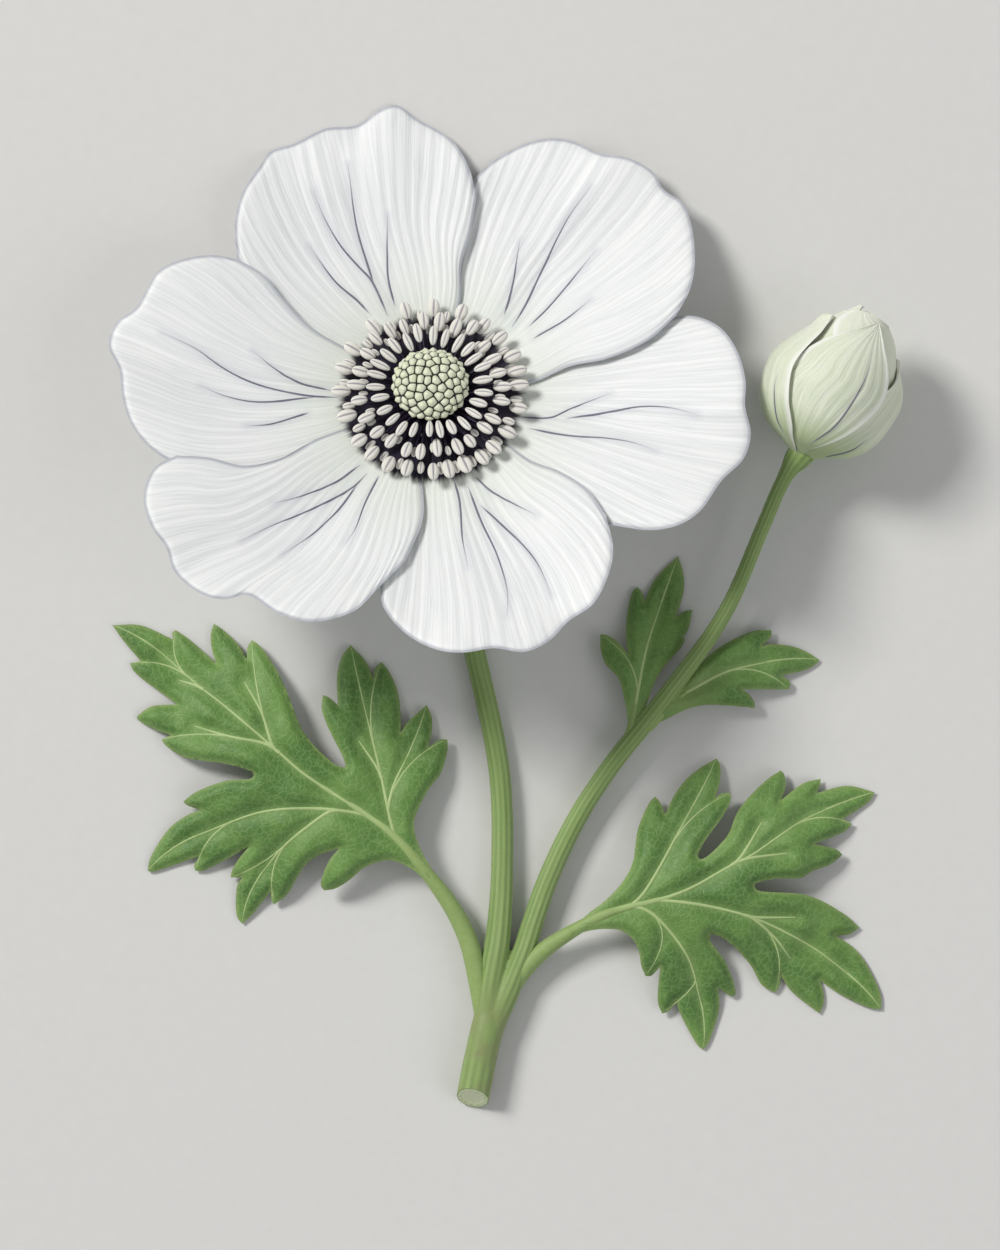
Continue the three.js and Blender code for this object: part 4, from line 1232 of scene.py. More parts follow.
def stem_skin():
    finish = Finish("ribbed_green_stem")
    place = finish.millimetres()
    along, clear = finish.value("along"), finish.value("clear")
    turn_x, turn_y = finish.value("turn_x"), finish.value("turn_y")
    streaks = finish.noise(finish.vector(turn_x * 2.4, turn_y * 2.4, along * 0.1), 1.0, 3)
    fresh = finish.blend(0.5 + (streaks - 0.5) * clear * 1.6, STEM_GREEN, STEM_PALE_GREEN)
    ribbed = finish.blend((1 - finish.value("rib")) * 0.45, fresh, (0.11, 0.2, 0.05))
    blush = finish.value("blush") * finish.fade(finish.noise(place, 0.25, 3), 0.35, 0.65)
    blushed = finish.blend(blush * 0.45, ribbed, (0.25, 0.14, 0.11))
    hairs = finish.noise(finish.vector(turn_x * 22, turn_y * 22, along * 2.2), 1.0, 2) * clear
    haired = finish.blend(finish.fade(hairs, 0.6, 0.74) * 0.4, blushed, (0.55, 0.62, 0.4))
    colour = finish.blend(finish.value("stain"), haired, STAIN)
    pores = finish.noise(place, 4.5, 3)
    return finish.done(
        colour, 0.45 + pores * 0.2, finish.bump(hairs * 0.6 + pores * 0.4, 0.1, 0.6),
        Subsurface_Weight=0.06, Subsurface_Radius=(0.6, 1.0, 0.3), Subsurface_Scale=0.001,
        Sheen_Weight=0.15, Sheen_Roughness=0.5, Specular_IOR_Level=0.45,
    )


def stem_cut():
    finish = Finish("watery_cut_pith")
    place = finish.millimetres()
    share, turn = finish.value("cut_share"), finish.value("cut_turn")
    cells = finish.noise(place, 5.0, 3)
    pith = finish.blend(cells, (0.78, 0.82, 0.58), (0.62, 0.7, 0.42))
    round_cut = (finish.node("Math", {"operation": "COSINE"}, {0: turn * BUNDLES}) + 1) / 2
    ring = 1 - finish.fade(abs(share - BUNDLE_RING), 0.0, 0.1)
    bundled = finish.blend(ring * round_cut * 0.8, pith, (0.34, 0.45, 0.2))
    colour = finish.blend(1 - finish.fade(share, 0.02, 0.12), bundled, (0.22, 0.34, 0.1))
    return finish.done(
        colour, 0.32 + cells * 0.2, finish.bump(cells, 0.1, 0.6),
        Subsurface_Weight=0.1, Subsurface_Radius=(0.8, 1.0, 0.4), Subsurface_Scale=0.001,
    )


# %% Finish the stem
from_cut = (stem_points - CUT_PLACE) @ -cut_facing
stem_form = Form(
    stem_points, stem_faces,
    along=stem_along, clear=stem_clear, turn_x=np.cos(stem_around), turn_y=np.sin(stem_around),
    rib=(rib_wave * stem_clear + 1) / 2, stain=stain_value,
    blush=1 - smoothstep(from_cut, 2, BLUSH_REACH),
)
stem_finishes = [stem_skin(), stem_cut()]
make_piece("branched_stem", joined([stem_form, cut_face]), stem_finishes, ["stem"], crease=40)

# %% [markdown]
# ## Leaf outlines
# The two large leaves are cut into lobes, and the lobes into teeth. An outline is a list of
# stretches in plan. Each stretch is one smooth edge that ends in a sharp corner, either the tip of a
# tooth or the notch between two, and the next one starts there. The spine is where the blade
# stands highest, by its `arch`, and `reach` is how far to the sides that dies away. The petiole's
# points have a height too, and its radii are given against its share of length.

# %% Leaf outlines and veins
LEFT_LEAF = {
    "spine": [(-2, -66.5), (-22, -52)], "reach": 22, "arch": 4,
    "petiole": [
        (8, -92, 2.2), (7.4, -88, 2.2), (6.75, -84.2, 2.3), (5.7, -79.4, 2.5), (4.4, -76, 2.75),
        (2.3, -72.3, 3.3),
    ],
    "petiole_radii": [
        (0, 1.3), (0.2, 1.4), (0.42, 1.2), (0.55, 0.9), (0.7, 0.6), (0.85, 0.42), (1, 0.25),
    ],
    "edge": [
        [(0.9, -70.3), (0.3, -68.3), (-1.1, -65.8), (-2.2, -63), (-2.3, -60.9), (-0.4, -56.8),
         (1.4, -54.4), (2.4, -50.7), (2.3, -49.6)],
        [(1.4, -49.6), (-0.4, -50.7)], [(0.1, -48.6), (0.1, -46.4), (-0.6, -44.7)],
        [(-3.5, -47.4), (-4.3, -48.7)], [(-4.3, -45.7), (-4.8, -42.5), (-6, -39.9), (-7, -38.6)],
        [(-7.8, -39.3), (-8.2, -40.9)], [(-9.2, -38.6), (-11.4, -36.2)],
        [(-12.6, -37.8), (-13.3, -40.5), (-13.2, -44.7)], [(-14.5, -43.6), (-15.3, -43.3)],
        [(-15.5, -45), (-14.9, -47.1), (-12.2, -52.8), (-12.2, -53.5), (-13.5, -53.1), (-17.8, -48.8),
         (-20.5, -42.5), (-22.3, -39), (-24.4, -36.2), (-25.4, -35.5)],
        [(-26, -36.5), (-26.1, -38.2)], [(-27.5, -36), (-29.7, -33.9), (-30.8, -33.2)],
        [(-31.2, -34.4), (-31.2, -36.2), (-30.5, -38.8)], [(-34.3, -35.4), (-36.2, -34.1)],
        [(-36.7, -34.4), (-36.6, -35.4)], [(-41.3, -33.4), (-45.2, -33.4)],
        [(-43.5, -35.8), (-41.2, -38.5)], [(-42.7, -38.8)], [(-42.2, -39.9), (-36.1, -44.6)],
        [(-39.9, -45), (-41.7, -46.3)], [(-41.7, -46.7), (-39.6, -48), (-36.9, -49)], [(-38.2, -49.6)],
        [(-37.8, -50.3), (-35, -52.1), (-28.7, -53.1), (-25.1, -54.4), (-25.3, -55), (-29, -55.4),
         (-33.6, -57.2), (-35.1, -58.4)],
        [(-34.8, -58.8), (-32.7, -59.6)],
        [(-34.3, -60.2), (-37.1, -62.2), (-39.9, -66.6), (-40.2, -68.3)],
        [(-39.6, -68.4), (-32.9, -66.2)], [(-33.6, -67.6), (-33.4, -68.3)],
        [(-32.2, -68.2), (-25.8, -64.8)], [(-27.3, -66.6), (-28.3, -68.4), (-28.4, -69.2)],
        [(-26.8, -69.2)], [(-27.5, -70.4), (-27.5, -74.8), (-26.8, -75.8)],
        [(-25.4, -74.5), (-22.7, -71.1)], [(-22.6, -72.6), (-22.2, -73)],
        [(-20.5, -71.7), (-17.8, -67.4), (-15.9, -66), (-13, -65)],
        [(-14.5, -66.9), (-15.6, -70.3), (-15.1, -71)],
        [(-13.5, -70.7), (-11.4, -69.4), (-9.2, -67.6), (-5.7, -66.7), (-2.6, -68), (-0.8, -69.6),
         (0.5, -71)],
    ],
    "veins": [
        [(-1.7, -67), (-6, -62.5), (-18, -54.4), (-21.9, -51), (-29.4, -44.7), (-32.9, -42),
         (-38.3, -37.3)],
        [(-9.2, -60.3), (-15.2, -59.4), (-23.7, -59.8), (-33.4, -63.3)],
        [(-14.3, -59.8), (-17.3, -61.8), (-20.9, -64.8), (-23.9, -68.4)],
        [(-4.8, -63.8), (-5.5, -61.9), (-7.1, -54.5), (-9.7, -43.9)],
        [(-5.8, -58.1), (-5.1, -55.7), (-3.4, -52.1)], [(-7.5, -53.8), (-10.2, -49.8)],
        [(-22.2, -50.8), (-24, -45.7), (-26.4, -41.5)],
        [(-23.7, -50.1), (-28.7, -49.1), (-33.5, -47.7)], [(-33.2, -42), (-35.7, -41.2)],
    ],
}
RIGHT_LEAF = {
    "spine": [(22.5, -75.3), (44, -68)], "reach": 20, "arch": 4,
    "petiole": [
        (8.7, -91.5, 2.2), (10.1, -87.6, 2.2), (12.6, -83, 2.25), (15.6, -79.8, 2.6), (19.6, -77, 3.35),
    ],
    "petiole_radii": [
        (0, 0.9), (0.12, 1.05), (0.25, 1.3), (0.4, 1.15), (0.52, 0.9), (0.7, 0.6), (0.85, 0.42),
        (1, 0.25),
    ],
    "edge": [
        [(20.3, -76.2), (22.2, -74.3), (24.8, -72.3), (27, -69.9), (28.5, -67.3), (29.4, -62.1),
         (31.1, -58.4), (31.8, -57.7)],
        [(32.5, -58.5), (33.2, -60.2)], [(34.4, -57.7), (36.1, -55.4), (38.1, -53.7), (40.5, -52.3)],
        [(41, -53.1), (41, -55.4), (40.3, -57.9)], [(41.3, -57.2), (42.5, -57.2)],
        [(42.5, -58.1), (41.6, -60.1), (38.5, -64.5), (37.8, -66.2), (38.4, -66.5), (41.9, -63.3),
         (43.6, -59.6), (47.4, -55.5), (49.6, -54)],
        [(50.1, -54.5), (50.3, -56.2), (49.6, -58.2)], [(52.9, -55.8), (55.3, -55.2)],
        [(55.2, -56.2), (54.7, -57.2)], [(59.1, -56.2), (63, -57.1)], [(62.2, -58.4), (58.5, -60.9)],
        [(59.8, -61.6)], [(58.8, -62.6), (54.4, -64.4)], [(57.7, -65.3), (58.4, -66)],
        [(56.7, -67.3), (54, -68.3), (52.5, -69.2), (48.8, -69.3), (45.9, -70.1), (46.1, -70.8),
         (53.5, -71.7), (58.8, -74.5), (60.8, -76.3)],
        [(59.5, -77.2), (57.5, -77.5)], [(59.8, -79), (61.5, -81), (63.8, -85.8), (63.9, -87.9)],
        [(62.5, -87.8), (58.1, -85.8), (55.2, -83.8)], [(55.7, -85.5), (55.7, -87.2), (55.1, -88.5)],
        [(51.1, -85.3), (49.7, -83.2)], [(49.4, -84.8), (48.8, -85.6)],
        [(47, -84.5), (45.3, -81.6), (41.9, -78.1), (39.7, -77.2), (39.5, -77.8), (41.9, -81.4),
         (43.2, -85.8), (42.6, -86.1)],
        [(40.8, -84.9)], [(40.9, -87.9), (39.2, -93), (38.6, -93.6)],
        [(38.1, -93.3), (35.4, -88.6), (34.8, -86.7)], [(33.7, -88.2), (32.8, -88.5)],
        [(32.2, -86.9), (32.5, -81.8)], [(31.2, -83.1), (30.4, -83.1)],
        [(29.8, -81.6), (29.5, -79.7), (28.7, -78), (27.1, -76.7), (24.7, -76.4), (22.2, -76.7),
         (19.8, -77.5)],
    ],
    "veins": [
        [(23.4, -74.8), (27.4, -73.4), (32.2, -72.3), (36.8, -70.6), (42.2, -67.6), (45.3, -66),
         (52.5, -61.2), (56.1, -59.5)],
        [(27.8, -73.3), (29.8, -71.7), (37.2, -58.9)], [(43.5, -66.7), (46.9, -61.3)],
        [(45, -66.4), (50.4, -65.7)],
        [(31.9, -72.4), (36.4, -72.7), (45.3, -74.7), (54, -79), (59.1, -82.8)],
        [(45.3, -74.7), (51.7, -74.8)], [(45.3, -74.7), (48.8, -77.7), (51, -80.7)],
        [(29.7, -73.4), (31.9, -74.7), (36.4, -80.4), (38.3, -86.9)],
    ],
}
LEFT_BRACT = {
    "spine": [(29, -48), (29.7, -42)], "reach": 16, "arch": 2.8,
    "petiole": [(27.4, -51.4, 2.6), (28.4, -48.4, 2.9)],
    "petiole_radii": [(0, 0.95), (0.25, 0.8), (0.5, 0.45), (1, 0.2)],
    "edge": [
        [(28.2, -49.6), (27.9, -47), (27.5, -44.3), (26.6, -41), (24.7, -38.8), (24.1, -36.9),
         (24, -34.7)],
        [(24.9, -34.8), (26.3, -35.6), (28, -37.5)],
        [(27.7, -35.4), (27.8, -32.1), (28.7, -28.5), (29.3, -28)], [(29.8, -28.5), (30.4, -30)],
        [(31.1, -28.1), (32.2, -26.4), (35.1, -23.6)], [(35.8, -26), (35.9, -28.4), (34.8, -32.2)],
        [(36, -31.4), (37.1, -31.2)], [(36.5, -34), (35.9, -34.9)],
        [(35.9, -35.8), (32.9, -39.5), (31.8, -41.3), (30.5, -44.9), (29.9, -47.6)],
    ],
    "veins": [[(28.7, -46.3), (30.5, -36.8), (32.7, -30.2)]],
}
RIGHT_BRACT = {
    "spine": [(34, -45), (39, -41.3)], "reach": 16, "arch": 3,
    "petiole": [(30.6, -47.8, 3), (33.2, -45.2, 3.3)],
    "petiole_radii": [(0, 0.95), (0.25, 0.8), (0.5, 0.45), (1, 0.2)],
    "edge": [
        [(35.4, -42.2), (38.8, -38.3), (41.6, -36.1), (45.9, -34.2), (48.3, -34.1)],
        [(48.3, -34.9), (46.9, -36.4)], [(48, -36.1), (51.3, -36.4), (53.2, -37.1), (55.1, -38.3)],
        [(54.8, -38.8), (53, -39.8), (49.8, -40.5)], [(51, -41.6), (50.8, -42.5)], [(44.2, -42.5)],
        [(45.2, -43.3), (45.9, -44.4)],
        [(45.9, -45.1), (44.7, -45), (39, -44.7), (36.3, -45.3), (33.4, -46.7), (30.6, -48)],
    ],
    "veins": [[(36, -43), (41.9, -40), (47.7, -38.6)]],
}

# %% [markdown]
# ## A leaf blade
# A blade with so many teeth can't be one neat grid. So the outline is filled with evenly spaced
# points and triangulated, which follows every tooth. Heights come after that: a low tent along the
# spine, and quilting, because the green tissue swells up between the veins. Besides the drawn
# veins, each tooth that has room for it gets a thin side vein, which leaves the nearest drawn one
# at a slant.

# %% Outlines and side veins
EDGE_STEP = 0.3
BLADE_STEP = 0.36
STRAIGHT_AHEAD = math.cos(math.radians(22))
SIDE_VEIN_TRIES = [(0.9, 0.45), (0.6, 0.3), (0.4, 0.15)]
SHORT_OF_TIP = 0.4


def blade_outline(stretches):
    """The closed outline as even steps, and the corners that are tips of teeth."""
    steps, corners, start = [], [], []
    for stretch in stretches:
        line = curve_through([*start, *stretch])
        count = max(2, round(length_of(line) / EDGE_STEP))
        steps.append(place_on(line, np.arange(count) / count))
        start = [stretch[-1]]
        corners.append((sum(len(part) for part in steps), stretch[-1]))
    outline = np.vstack([*steps, [stretches[-1][-1]]])
    shifted = np.roll(outline, -1, axis=0)
    winding = np.sign((outline[:, 0] * shifted[:, 1] - outline[:, 1] * shifted[:, 0]).sum())
    tips = []
    for number, corner in corners[:-1]:
        arriving = np.subtract(corner, outline[number - 2])
        leaving = np.subtract(outline[(number + 2) % len(outline)], corner)
        turning = arriving[0] * leaving[1] - arriving[1] * leaving[0]
        if turning * winding > 0:
            tips.append(np.array(corner))
    return outline, tips


def branching(place, veins, back):
    """Where a vein to this place leaves the nearest of these, and its direction there. It leaves
    before the closest point, by 1 mm and `back` times the gap. Straight ahead of a vein's end it
    starts at that end."""
    line = min(veins, key=lambda each: np.linalg.norm(each - place, axis=1).min())
    gaps = np.linalg.norm(line - place, axis=1)
    travelled = travelled_on(line)
    ending, ahead = line[-1] - line[-4], place - line[-1]
    straight = ending @ ahead > STRAIGHT_AHEAD * np.linalg.norm(ending) * np.linalg.norm(ahead)
    at = travelled[-1] if straight else max(travelled[gaps.argmin()] - back * gaps.min() - 1, 0)
    around = np.clip([at - 0.5, at, at + 0.5], 0, travelled[-1])
    before, start, after = place_on(line, around / travelled[-1])
    return start, (after - before) / np.linalg.norm(after - before)


def side_vein(tip, veins, outline):
    """A bowed line from the nearest vein almost to the tip of a tooth, or none if it can't stay
    inside the outline. Straighter lines are tried when a more slanting one can't."""
    for back, bow in SIDE_VEIN_TRIES:
        start, heading = branching(tip, veins, back)
        reach = np.linalg.norm(tip - start)
        bend = start + heading * bow * reach + (tip - start) * 0.1
        line = bowed(start, bend, tip, np.linspace(0, 1 - SHORT_OF_TIP / max(reach, 1), 14))
        if inside_outline(line, outline).all():
            return [line]
    return []


def connected(veins):
    """The drawn veins as dense lines, each after the first begun on one before it."""
    lines = [curve_through(veins[0])]
    for points in veins[1:]:
        start, _ = branching(np.array(points[0]), lines, 0.8)
        lines.append(curve_through([tuple(start), *points]))
    return lines


# %% Fill a blade
ROW_SPACING = 0.866
CLEAR_OF_EDGE = 0.55


def inside_outline(places, outline):
    """Whether each place is inside, by counting the edges that lie to its right."""
    x, y = places[:, :1], places[:, 1:]
    x0, y0 = outline.T
    x1, y1 = np.roll(outline, -1, axis=0).T
    crosses = (y0 > y) != (y1 > y)
    at = x0 + (y - y0) * (x1 - x0) / np.where(y1 == y0, 1e-9, y1 - y0)
    return (crosses & (at > x)).sum(axis=1) % 2 == 1


def blade_points(outline):
    """Evenly spaced places inside the outline, kept a little away from it, and how far each is."""
    low, high = outline.min(axis=0), outline.max(axis=0)
    rows = np.arange(low[1], high[1], BLADE_STEP * ROW_SPACING)
    columns = np.arange(low[0], high[0], BLADE_STEP)
    x, y = np.meshgrid(columns, rows)
    x = x + (np.arange(len(rows)) % 2)[:, None] * BLADE_STEP / 2
    places = np.stack([x.ravel(), y.ravel()], -1)
    places = places[inside_outline(places, outline)]
    away = np.array([np.linalg.norm(outline - place, axis=1).min() for place in places])
    kept = away > BLADE_STEP * CLEAR_OF_EDGE
    return places[kept], away[kept]


def filled(outline):
    """Places all over the blade, the faces between them, and how far each is from the edge."""
    filling, away = blade_points(outline)
    ring = [(i, (i + 1) % len(outline)) for i in range(len(outline))]
    corners, _, faces, source, _, _ = geometry.delaunay_2d_cdt(
        [Vector(place) for place in np.vstack([outline, filling])], ring, [], 1, 1e-6
    )
    first_source = [numbers[0] if numbers else 0 for numbers in source]
    edge_gap = np.concatenate([np.zeros(len(outline)), away])[first_source]
    return np.array([corner[:] for corner in corners]), faces, edge_gap


def thickened(upper, lower, faces, **values):
    """A closed blade: faces above, the same turned over below, and a wall along the open sides."""
    used = {(face[i], face[(i + 1) % len(face)]) for face in faces for i in range(len(face))}
    open_sides = sorted((a, b) for a, b in used if (b, a) not in used)
    below = len(upper)
    underside = [tuple(i + below for i in face[::-1]) for face in faces]
    wall = [(a, a + below, b + below, b) for a, b in open_sides]
    both = {name: np.tile(v, 2) for name, v in values.items()}
    form = Form(np.vstack([upper, lower]), [*faces, *underside, *wall], **both)
    form.finishes = [0] * len(faces) + [1] * len(underside) + [0] * len(wall)
    return form


# %% Raise a blade
LEAF_EDGE_HEIGHT = 0.3
LEAF_THICKNESS = 0.34
LEAF_WAVES = 0.16
QUILTING = 0.8
QUILT_WIDTH = 1.3
SIDE_QUILTING = 0.55
SIDE_QUILT_WIDTH = 0.8


def swelling(gap, width):
    """0 on a vein, and nearly 1 from twice this width away."""
    return 1 - np.exp(-((gap / width) ** 2))


def blade_height(leaf, places, vein_gap, side_gap, edge_gap):
    """The height of the blade's middle layer: the tent, the quilting and some slow waves."""
    start, end = np.array(leaf["spine"], float)
    share = np.clip((places - start) @ (end - start) / ((end - start) @ (end - start)), 0, 1)
    from_spine = np.linalg.norm(places - start - share[:, None] * (end - start), axis=1)
    tent = leaf["arch"] * (1 - smoothstep(from_spine, 0.1 * leaf["reach"], leaf["reach"]))
    beside = 1 - SIDE_QUILTING + SIDE_QUILTING * swelling(side_gap, SIDE_QUILT_WIDTH)
    swell = QUILTING * swelling(vein_gap, QUILT_WIDTH) * beside
    swaying = np.sin(places[:, 0] * 0.9 + 1.3 * np.sin(places[:, 1] * 0.6))
    waves = LEAF_WAVES * swaying * smoothstep(edge_gap, 0, 2)
    return LEAF_EDGE_HEIGHT + tent + swell * smoothstep(edge_gap, 0, 1.4) + waves


def leaf_form(leaf):
    """The blade, its drawn veins and its side veins."""
    outline, tips = blade_outline(leaf["edge"])
    drawn = connected(leaf["veins"])
    side = [line for tip in tips for line in side_vein(tip, drawn, outline)]
    places, faces, edge_gap = filled(outline)
    vein_gap = distance_to_lines(places, drawn)
    side_gap = distance_to_lines(places, side)
    height = blade_height(leaf, places, vein_gap, side_gap, edge_gap)
    half = LEAF_THICKNESS / 2 * (0.4 + 0.6 * smoothstep(edge_gap, 0, 0.6))
    blade = thickened(
        np.column_stack([places, height + half]), np.column_stack([places, height - half]), faces,
        vein_gap=np.minimum(vein_gap, side_gap + 0.5), edge_gap=edge_gap,
        from_base=np.linalg.norm(places - outline[0], axis=1),
    )
    return blade, drawn, side


# %% [markdown]
# ## Leaf stalks and leaf veins
# The leaf stalk is a tube that leaves the stem, runs on along the first drawn vein, half sunk in the
# blade, and dies away there. The drawn veins are stronger, the side veins only just stand out.

# %% Put a leaf together
PETIOLE_REACH = 0.45
PETIOLE_SUNK = 0.3
PETIOLE_SIDES = 24
MAIN_VEIN_WIDTH = smooth_table([(0, 0.26), (0.3, 0.22), (0.7, 0.15), (1, 0.07)])
SIDE_VEIN_WIDTH = smooth_table([(0, 0.12), (0.5, 0.1), (1, 0.04)])


def whole_leaf(leaf):
    blade, drawn, side = leaf_form(leaf)
    find = surface_finder(blade)
    on_blade = [find(place) for place in place_on(drawn[0], np.linspace(0.03, PETIOLE_REACH, 8))]
    sunk = [(place.x, place.y, place.z - PETIOLE_SUNK) for place in on_blade if place]
    line, radius = stalk_along([*leaf["petiole"], *sunk], leaf["petiole_radii"])
    petiole = tube(line, radius, PETIOLE_SIDES, 3, share=np.linspace(0, 1, len(line)))
    veins = [vein(find, line, MAIN_VEIN_WIDTH) for line in drawn]
    veins += [vein(find, line, SIDE_VEIN_WIDTH, 0.4, 0.3) for line in side]
    return joined([blade, petiole, *veins])


# %% [markdown]
# ## Leaf finishes
# The upper side is a matt mid green, broken up by a net of fine pale veins that shows in the colour
# and in the relief. Voronoi cells give that net: the distance to the cell's edge is small exactly
# along it. The underside is paler and greyer, and the stalk takes the stem's green.

# %% Leaf finishes
def vein_net(finish, place, scale):
    """1 along a net of fine veins, 0 inside its meshes."""
    drift = finish.node("TexNoise", None, {"Vector": place, "Scale": 0.8}, output=1)
    shift = finish.node("VectorMath", {"operation": "SCALE"}, {"Vector": drift, "Scale": 1.1})
    bent = finish.node("VectorMath", {"operation": "ADD"}, {0: place, 1: shift})
    edge = finish.node("TexVoronoi", {"feature": "DISTANCE_TO_EDGE"}, {"Vector": bent, "Scale": scale})
    return 1 - finish.fade(edge, 0.0, 0.14)


def leaf_top():
    finish = Finish("matt_leaf_green")
    place = finish.millimetres()
    vein_gap, edge_gap = finish.value("vein_gap"), finish.value("edge_gap")
    net = vein_net(finish, place, 1.1)
    clouds = finish.fade(finish.noise(place, 0.14, 4), 0.3, 0.7)
    green = finish.blend(clouds, (0.075, 0.18, 0.035), (0.15, 0.29, 0.065))
    netted = finish.blend(net * 0.35, green, (0.26, 0.4, 0.14))
    by_vein = 1 - finish.fade(vein_gap, 0.1, 1.3)
    veined = finish.blend(by_vein * 0.4, netted, (0.25, 0.39, 0.13))
    rimmed = finish.blend((1 - finish.fade(edge_gap, 0.05, 0.7)) * 0.45, veined, (0.3, 0.39, 0.14))
    base = 1 - finish.fade(finish.value("from_base"), 0.5, 8)
    colour = finish.blend(base * 0.9, rimmed, (0.25, 0.37, 0.12))
    grain = finish.noise(place, 4.0, 3)
    height = (1 - net) * 0.6 + grain * 0.4
    return finish.done(
        colour, 0.42 + grain * 0.22, finish.bump(height, 0.08, 0.7),
        Subsurface_Weight=0.05, Subsurface_Radius=(0.5, 1.0, 0.2), Subsurface_Scale=0.0008,
        Sheen_Weight=0.1, Sheen_Roughness=0.5, Specular_IOR_Level=0.4,
    )


def leaf_underside():
    finish = Finish("pale_leaf_underside")
    place = finish.millimetres()
    net = vein_net(finish, place, 0.95)
    green = finish.blend(finish.noise(place, 0.2, 3), (0.26, 0.36, 0.16), (0.33, 0.43, 0.22))
    colour = finish.blend(net * 0.4, green, (0.45, 0.54, 0.32))
    grain = finish.noise(place, 5.0, 3)
    return finish.done(
        colour, 0.6 + grain * 0.2, finish.bump(net + grain * 0.3, 0.1, 0.7), Sheen_Weight=0.2,
    )


def leaf_vein():
    colours = (0.36, 0.5, 0.18), (0.5, 0.6, 0.3)
    return grained("pale_leaf_vein", (2.5, 3), colours, (0.45, 0.15), (0.05, 0.6), Specular_IOR_Level=0.4)


def leaf_stalk():
    finish = Finish("green_leaf_stalk")
    place = finish.millimetres()
    streaks = finish.noise(place, 1.4, 4)
    green = finish.blend(streaks, STEM_GREEN, STEM_PALE_GREEN)
    colour = finish.blend(finish.fade(finish.value("share"), 0.5, 0.85), green, (0.4, 0.53, 0.22))
    hairs = finish.noise(place, 6.0, 2)
    return finish.done(
        colour, 0.45 + hairs * 0.2, finish.bump(hairs, 0.08, 0.6),
        Sheen_Weight=0.15, Specular_IOR_Level=0.4,
    )


# %% Grow the leaves and bracts
LEAVES = {
    "leaf_left": LEFT_LEAF,
    "leaf_right": RIGHT_LEAF,
    "bract_left": LEFT_BRACT,
    "bract_right": RIGHT_BRACT,
}

leaf_finishes = [leaf_top(), leaf_underside(), leaf_vein(), leaf_stalk()]
for node, leaf in LEAVES.items():
    form = whole_leaf(leaf)
    make_piece("green_" + node, form, leaf_finishes, [node])
    print(node, len(form.points), "points,", round(form.points[:, 2].max(), 2), "mm high")

# %% [markdown]
# ## The closed bud
# Six tepals wrap the bud in layers. Each is a sheet whose two edges wander round the bud as it rises
# and close in on each other at the tip. The tables say, against how far along the bud it is, how
# thick the bud is and where each edge stands, in degrees round from straight up. `layers` gives the
# layer of its first and its second side, low down and near the tip. On the side that lies on the
# surface the bud curves in sooner, up to just under the upper tepals, which all but shuts its tip.

# %% Bud tables
BUD_LENGTH = 22.8
TEPAL_THICKNESS = 0.3
TEPAL_STEP = 0.68
bud_radius = smooth_table([
    (0, 0.9), (0.05, 2.6), (0.1, 4.45), (0.16, 5.75), (0.225, 6.65), (0.3, 7.3), (0.43, 7.7),
    (0.5, 7.7), (0.58, 7.3), (0.65, 6.65), (0.75, 5.45), (0.84, 4.4), (0.89, 3.6), (0.93, 2.75),
    (0.975, 1.7), (1, 1.1),
])
layer_step = smooth_table([(0, 0.15), (0.05, 0.35), (0.13, 0.6), (0.3, TEPAL_STEP), (1, TEPAL_STEP)])
bud_lean = smooth_table([(0, 0), (0.3, 0), (0.5, 0.2), (0.65, 0.48), (0.85, 0.6), (1, 0.65)])

TEPALS = {
    "tepal_left": {
        "edges": [
            (0.02, -140, -24), (0.15, -150, -22), (0.3, -155, -31), (0.46, -155, -39),
            (0.62, -148, -43), (0.75, -125, -46), (0.83, -98, -52), (0.875, -72, -60),
        ],
        "layers": [(3, 3), (3, 2.4)],
        "veins": [[(49.7, -6.2), (48.8, -4.3), (48.4, -0.1), (48.8, 2.1)]],
    },
    "tepal_front": {
        "edges": [
            (0.04, -22, 6), (0.13, -38, 22), (0.26, -47, 35), (0.42, -52, 46), (0.55, -45, 50),
            (0.65, -43, 47.5), (0.75, -33, 42.5), (0.83, -17, 36), (0.9, 4, 30.5), (0.945, 22, 27),
        ],
        "layers": [(2, 2), (2, 2.6)],
        "veins": [[(53.2, -8), (56.9, -5.3), (61.1, 1.4), (62.1, 5)]],
    },
    "tepal_right": {
        "edges": [
            (0.02, 0, 150), (0.13, 8, 150), (0.26, 22, 150), (0.42, 38, 148), (0.57, 53, 140),
            (0.67, 68, 125), (0.74, 79, 110), (0.785, 88, 97),
        ],
        "layers": [(0.8, 2.5), (3, 2.4)],
        "veins": [[(55.5, -9.7), (59.4, -8.7), (61.5, -7.2)]],
    },
    "tepal_back": {
        "edges": [
            (0.02, 140, 220), (0.3, 130, 230), (0.5, 136, 233), (0.65, 146, 233), (0.82, 148, 230),
            (0.9, 158, 220), (0.93, 172, 205),
        ],
        "layers": [(2, 2), (2, 2)],
        "veins": [],
    },
    "tepal_back_right": {
        "edges": [
            (0.02, 40, 120), (0.3, 34, 158), (0.5, 28, 163), (0.65, 2, 166), (0.75, -28, 166),
            (0.83, -44, 164), (0.9, -52, 150), (0.93, -52, 120), (0.944, -50, 92), (0.955, -47, 70),
            (0.965, -40, 48), (0.985, -14, 12),
        ],
        "layers": [(0, 1.3), (0, 1.4)],
        "veins": [],
    },
    "tepal_back_left": {
        "edges": [
            (0.02, -130, -30), (0.3, -145, -16), (0.6, -148, -14), (0.84, -146, -23), (0.94, -132, -30),
            (1, -80, -48),
        ],
        "layers": [(1, 0.8), (1, 0.8)],
        "veins": [],
    },
}

